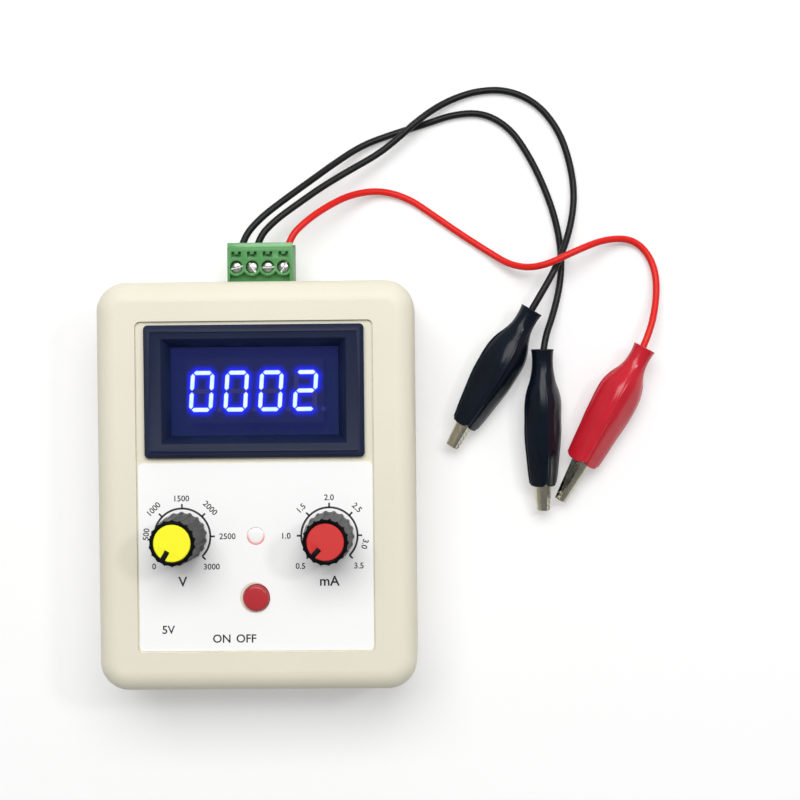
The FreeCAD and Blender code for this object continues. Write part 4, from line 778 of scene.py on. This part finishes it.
# %% Terminal block finishes
nylon_green = grained("green_polyamide", "#3F8743", "#4E944F", 4, 0.35, 0.02, (0.36, 0.5))
refined("terminal_plug", "lead_set", nylon_green, bevel=0.1)
coat(nylon_green, "terminal_header")
steel = grained("nickel_plated_steel", "#A9A8A2", "#CFCEC8", 2, 0.25, 0.01, (0.2, 0.34), Metallic=1.0)
tinned = grained("tin_plated_brass", "#B7AE93", "#D0C8AE", 2, 0.25, 0.01, (0.3, 0.42), Metallic=1.0)
coat(steel, "case_screws", "board_screws", "usb_shell", "power_switch", "clip_pins")
coat(tinned, *[f"terminal_cage_{n}" for n in range(1, 5)], "plug_contacts", "header_pins")
print("terminal block", nylon_green.name, tinned.name)

# %% [markdown]
# Along the plug's outer edge a visor stands over the wire entries. It slopes outwards by a few
# degrees and came off a polished face of the mould, so it mirrors the window as one pale band.
# Its green is also painted paler than the plug's, which adds a painted highlight to that band.

# %% Visor over the wire entries
VISOR_REACH, VISOR_THICK = 1.25 * MM, 0.5 * MM
VISOR_STEP, VISOR_DROP = 0.3 * MM, 0.17 * MM  # below the plug's top, and from its root to its edge
VISOR_EDGE = 0.08 * MM  # bevel of its edges
# the visor's green is painted paler than the plug's: a painted highlight over its real gloss
polished_green_painted_highlight = grained("polished_green_polyamide_painted_highlight", "#579C5A", "#66AA68", 4, 0.5, 0.002, (0.16, 0.24))
low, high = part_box("terminal_plug")
bm = bmesh.new()
size = Matrix.Diagonal((high.x - low.x, VISOR_REACH, VISOR_THICK, 1))
place = Matrix.Translation(((low.x + high.x) / 2, high.y - VISOR_REACH / 2,
                            high.z - VISOR_STEP - VISOR_THICK / 2))
bmesh.ops.create_cube(bm, size=1.0, matrix=place @ size)
outer = [spot for spot in bm.verts if spot.co.y > high.y - VISOR_REACH / 2]
bmesh.ops.translate(bm, verts=outer, vec=(0, 0, -VISOR_DROP))
bmesh.ops.bevel(bm, geom=bm.edges[:], offset=VISOR_EDGE, offset_type="OFFSET", affect="EDGES",
                segments=2, profile=0.5, material=-1, clamp_overlap=True)
visor = finished("plug_visor", bm, polished_green_painted_highlight)
visor.data.set_sharp_from_angle(angle=SHARP)
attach(visor, "lead_set")
print("visor top at", round((high.z - VISOR_STEP) / MM, 2), "mm")

# %% [markdown]
# The clamp screws are what the eye finds first on the block. Shank and head are one lathe profile,
# so half an outline is spun round the axis. The head is slightly domed, so that it catches the
# window on one side and goes dark on the other. A box cuts the slot, and each screw stopped at an
# angle of its own when it was tightened.

# %% Clamp screws
SLOT_TURNS = (14, 122, 3, 62)  # degrees, from pole 1 to pole 4
SLOT_WIDTH, SLOT_DEPTH = 0.45 * MM, 0.6 * MM
SHANK, HEAD_HEIGHT, DOME, EDGE = 0.95 * MM, 1.4 * MM, 0.3 * MM, 0.1 * MM
DOME_STEPS = (1, 0.8, 0.6, 0.4, 0.2, 0)  # from the head's edge to its middle
SCREW_SIDES = 36
screw_nickel = grained("turned_nickel_plated_steel", "#A9A8A4", "#CBCAC6", 1.2, 0.3, 0.004, (0.24, 0.36),
                       Metallic=1.0)


def clamp_screw(n, turn):
    """Slotted screw in the place of one CAD clamp screw."""
    low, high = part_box(f"terminal_screw_{n}")
    head = (high.x - low.x) / 2
    axis = Matrix.Translation(((low.x + high.x) / 2, (low.y + high.y) / 2, 0))
    shoulder, rim = high.z - HEAD_HEIGHT, high.z - DOME
    profile = [(0, low.z), (SHANK, low.z), (SHANK, shoulder), (head, shoulder), (head, rim - EDGE)]
    profile += [((head - EDGE) * s, high.z - DOME * s * s) for s in DOME_STEPS]
    bm = bmesh.new()
    spots = [bm.verts.new((r, 0, z)) for r, z in profile]
    sides = [bm.edges.new(pair) for pair in zip(spots, spots[1:])]
    bmesh.ops.spin(bm, geom=spots + sides, cent=(0, 0, 0), axis=(0, 0, 1), angle=2 * math.pi,
                   steps=SCREW_SIDES, use_merge=True)
    bmesh.ops.remove_doubles(bm, verts=bm.verts, dist=SAME_SPOT)
    bmesh.ops.recalc_face_normals(bm, faces=bm.faces)
    bm.transform(axis)
    slot = bmesh.new()
    size = Matrix.Diagonal((3 * head, SLOT_WIDTH, 2 * SLOT_DEPTH, 1))
    lie = Matrix.Translation((0, 0, high.z)) @ Matrix.Rotation(math.radians(turn), 4, "Z") @ size
    bmesh.ops.create_cube(slot, size=1.0, matrix=axis @ lie)
    made = finished(f"clamp_screw_{n}_turned", bm, screw_nickel, cutter=slot)
    made.data.set_sharp_from_angle(angle=SHARP)
    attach(made, f"clamp_screw_{n}")
    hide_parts(f"terminal_screw_{n}")


for n, turn in enumerate(SLOT_TURNS, 1):
    clamp_screw(n, turn)
print("clamp screws", len(SLOT_TURNS))

# %% [markdown]
# ## The clip metal
# The jaws are stamped from sheet steel and barrel plated with nickel. Rolling leaves faint lines
# in the sheet, and the thin plating has a warm, slightly olive tone. The stamped teeth are cut a
# little deeper here than in the CAD model, and the tips are rounded.

# %% Clip metal
nickel = grained("barrel_plated_nickel", "#A9A594", "#D6D2C4", 3, 0.5, 0.012, (0.16, 0.28),
                 stretch=(1, 0.35, 1), Metallic=1.0)
spring_steel = grained("spring_steel_wire", "#77756E", "#98968E", 2, 0.2, 0.006, (0.25, 0.4), Metallic=1.0)
TOOTH_CUT, TIP_ROUND = 0.35, 0.45  # how much deeper the gaps are, and the radius at the tip
TOOTH_ROOTS = {"fixed_jaw": (1, 0.45), "moving_jaw": (-1, 0.3)}  # side of the clip, level of the gaps
TEETH_FROM = 1  # ahead of the pivot
AT_ROOT, AT_TIP = 0.04, 0.02  # how near a vertex has to be to count as one of them


def stamped(name, side, root):
    """How one jaw is reshaped: its tooth gaps deepened and its tip rounded."""
    place = clip_frame(name)
    into = place.inverted()
    back = place.col[2].to_3d() * side

    def reshape(bm):
        reach = max((into @ spot.co).x for spot in bm.verts)
        for spot in bm.verts:
            at = (into @ spot.co) / MM
            if at.x > TEETH_FROM and abs(at.z * side - root) < AT_ROOT:
                spot.co += back * TOOTH_CUT * MM
        tip = [e for e in bm.edges if all((into @ v.co).x > reach - AT_TIP * MM for v in e.verts)]
        bmesh.ops.bevel(bm, geom=tip, offset=TIP_ROUND * MM, offset_type="OFFSET", affect="EDGES",
                        segments=3, profile=0.5, material=-1, clamp_overlap=True)

    return reshape


jaws = {}
for name in CLIP_LEADS:
    jaws[name] = []
    for word, (side, root) in TOOTH_ROOTS.items():
        body = "lead_set" if word == "fixed_jaw" else f"{name}_jaw"
        made = refined(f"{name}_{word}", body, nickel, reshape=stamped(name, side, root))
        jaws[name].append(made)
    coat(spring_steel, f"{name}_spring")
print("jaws", {name: [len(made.data.polygons) for made in pair] for name, pair in jaws.items()})

# %% [markdown]
# ## Inside the case
# Nothing here shows in the photograph, but the pieces are in the model, so each has its own plain
# finish: solder mask, ferrite, tape, sleeved cans, black moulding compound.

# %% Inner finishes
coat(grained("green_solder_mask", "#12492B", "#1A5A36", 3, 0.3, 0.01, (0.3, 0.45)),
     "main_board", "meter_board")
coat(grained("blue_pot_housing", "#1D2F55", "#274070", 4, 0.3, 0.01, (0.4, 0.5)),
     "voltage_pot", "current_pot")
coat(grained("turned_aluminium", "#B9BABC", "#D2D3D5", 2, 0.15, 0.01, (0.25, 0.4), Metallic=1.0),
     "voltage_pot_shaft", "current_pot_shaft")
coat(grained("pressed_ferrite", "#222224", "#303033", 2, 0.3, 0.03, (0.6, 0.75)), "transformer_core")
coat(grained("polyester_tape", "#C79A22", "#DDB23A", 5, 0.4, 0.01, (0.2, 0.35)), "transformer_coil")
coat(grained("sleeved_can", "#171C2B", "#232A3C", 4, 0.4, 0.008, (0.25, 0.4)), "capacitors")
coat(grained("black_moulding_compound", "#161617", "#222223", 2, 0.2, 0.01, (0.5, 0.65)),
     "chips", "start_switch", "usb_tongue", "power_slider")
coat(pvc_black, "meter_cable")
print("materials", len(bpy.data.materials))
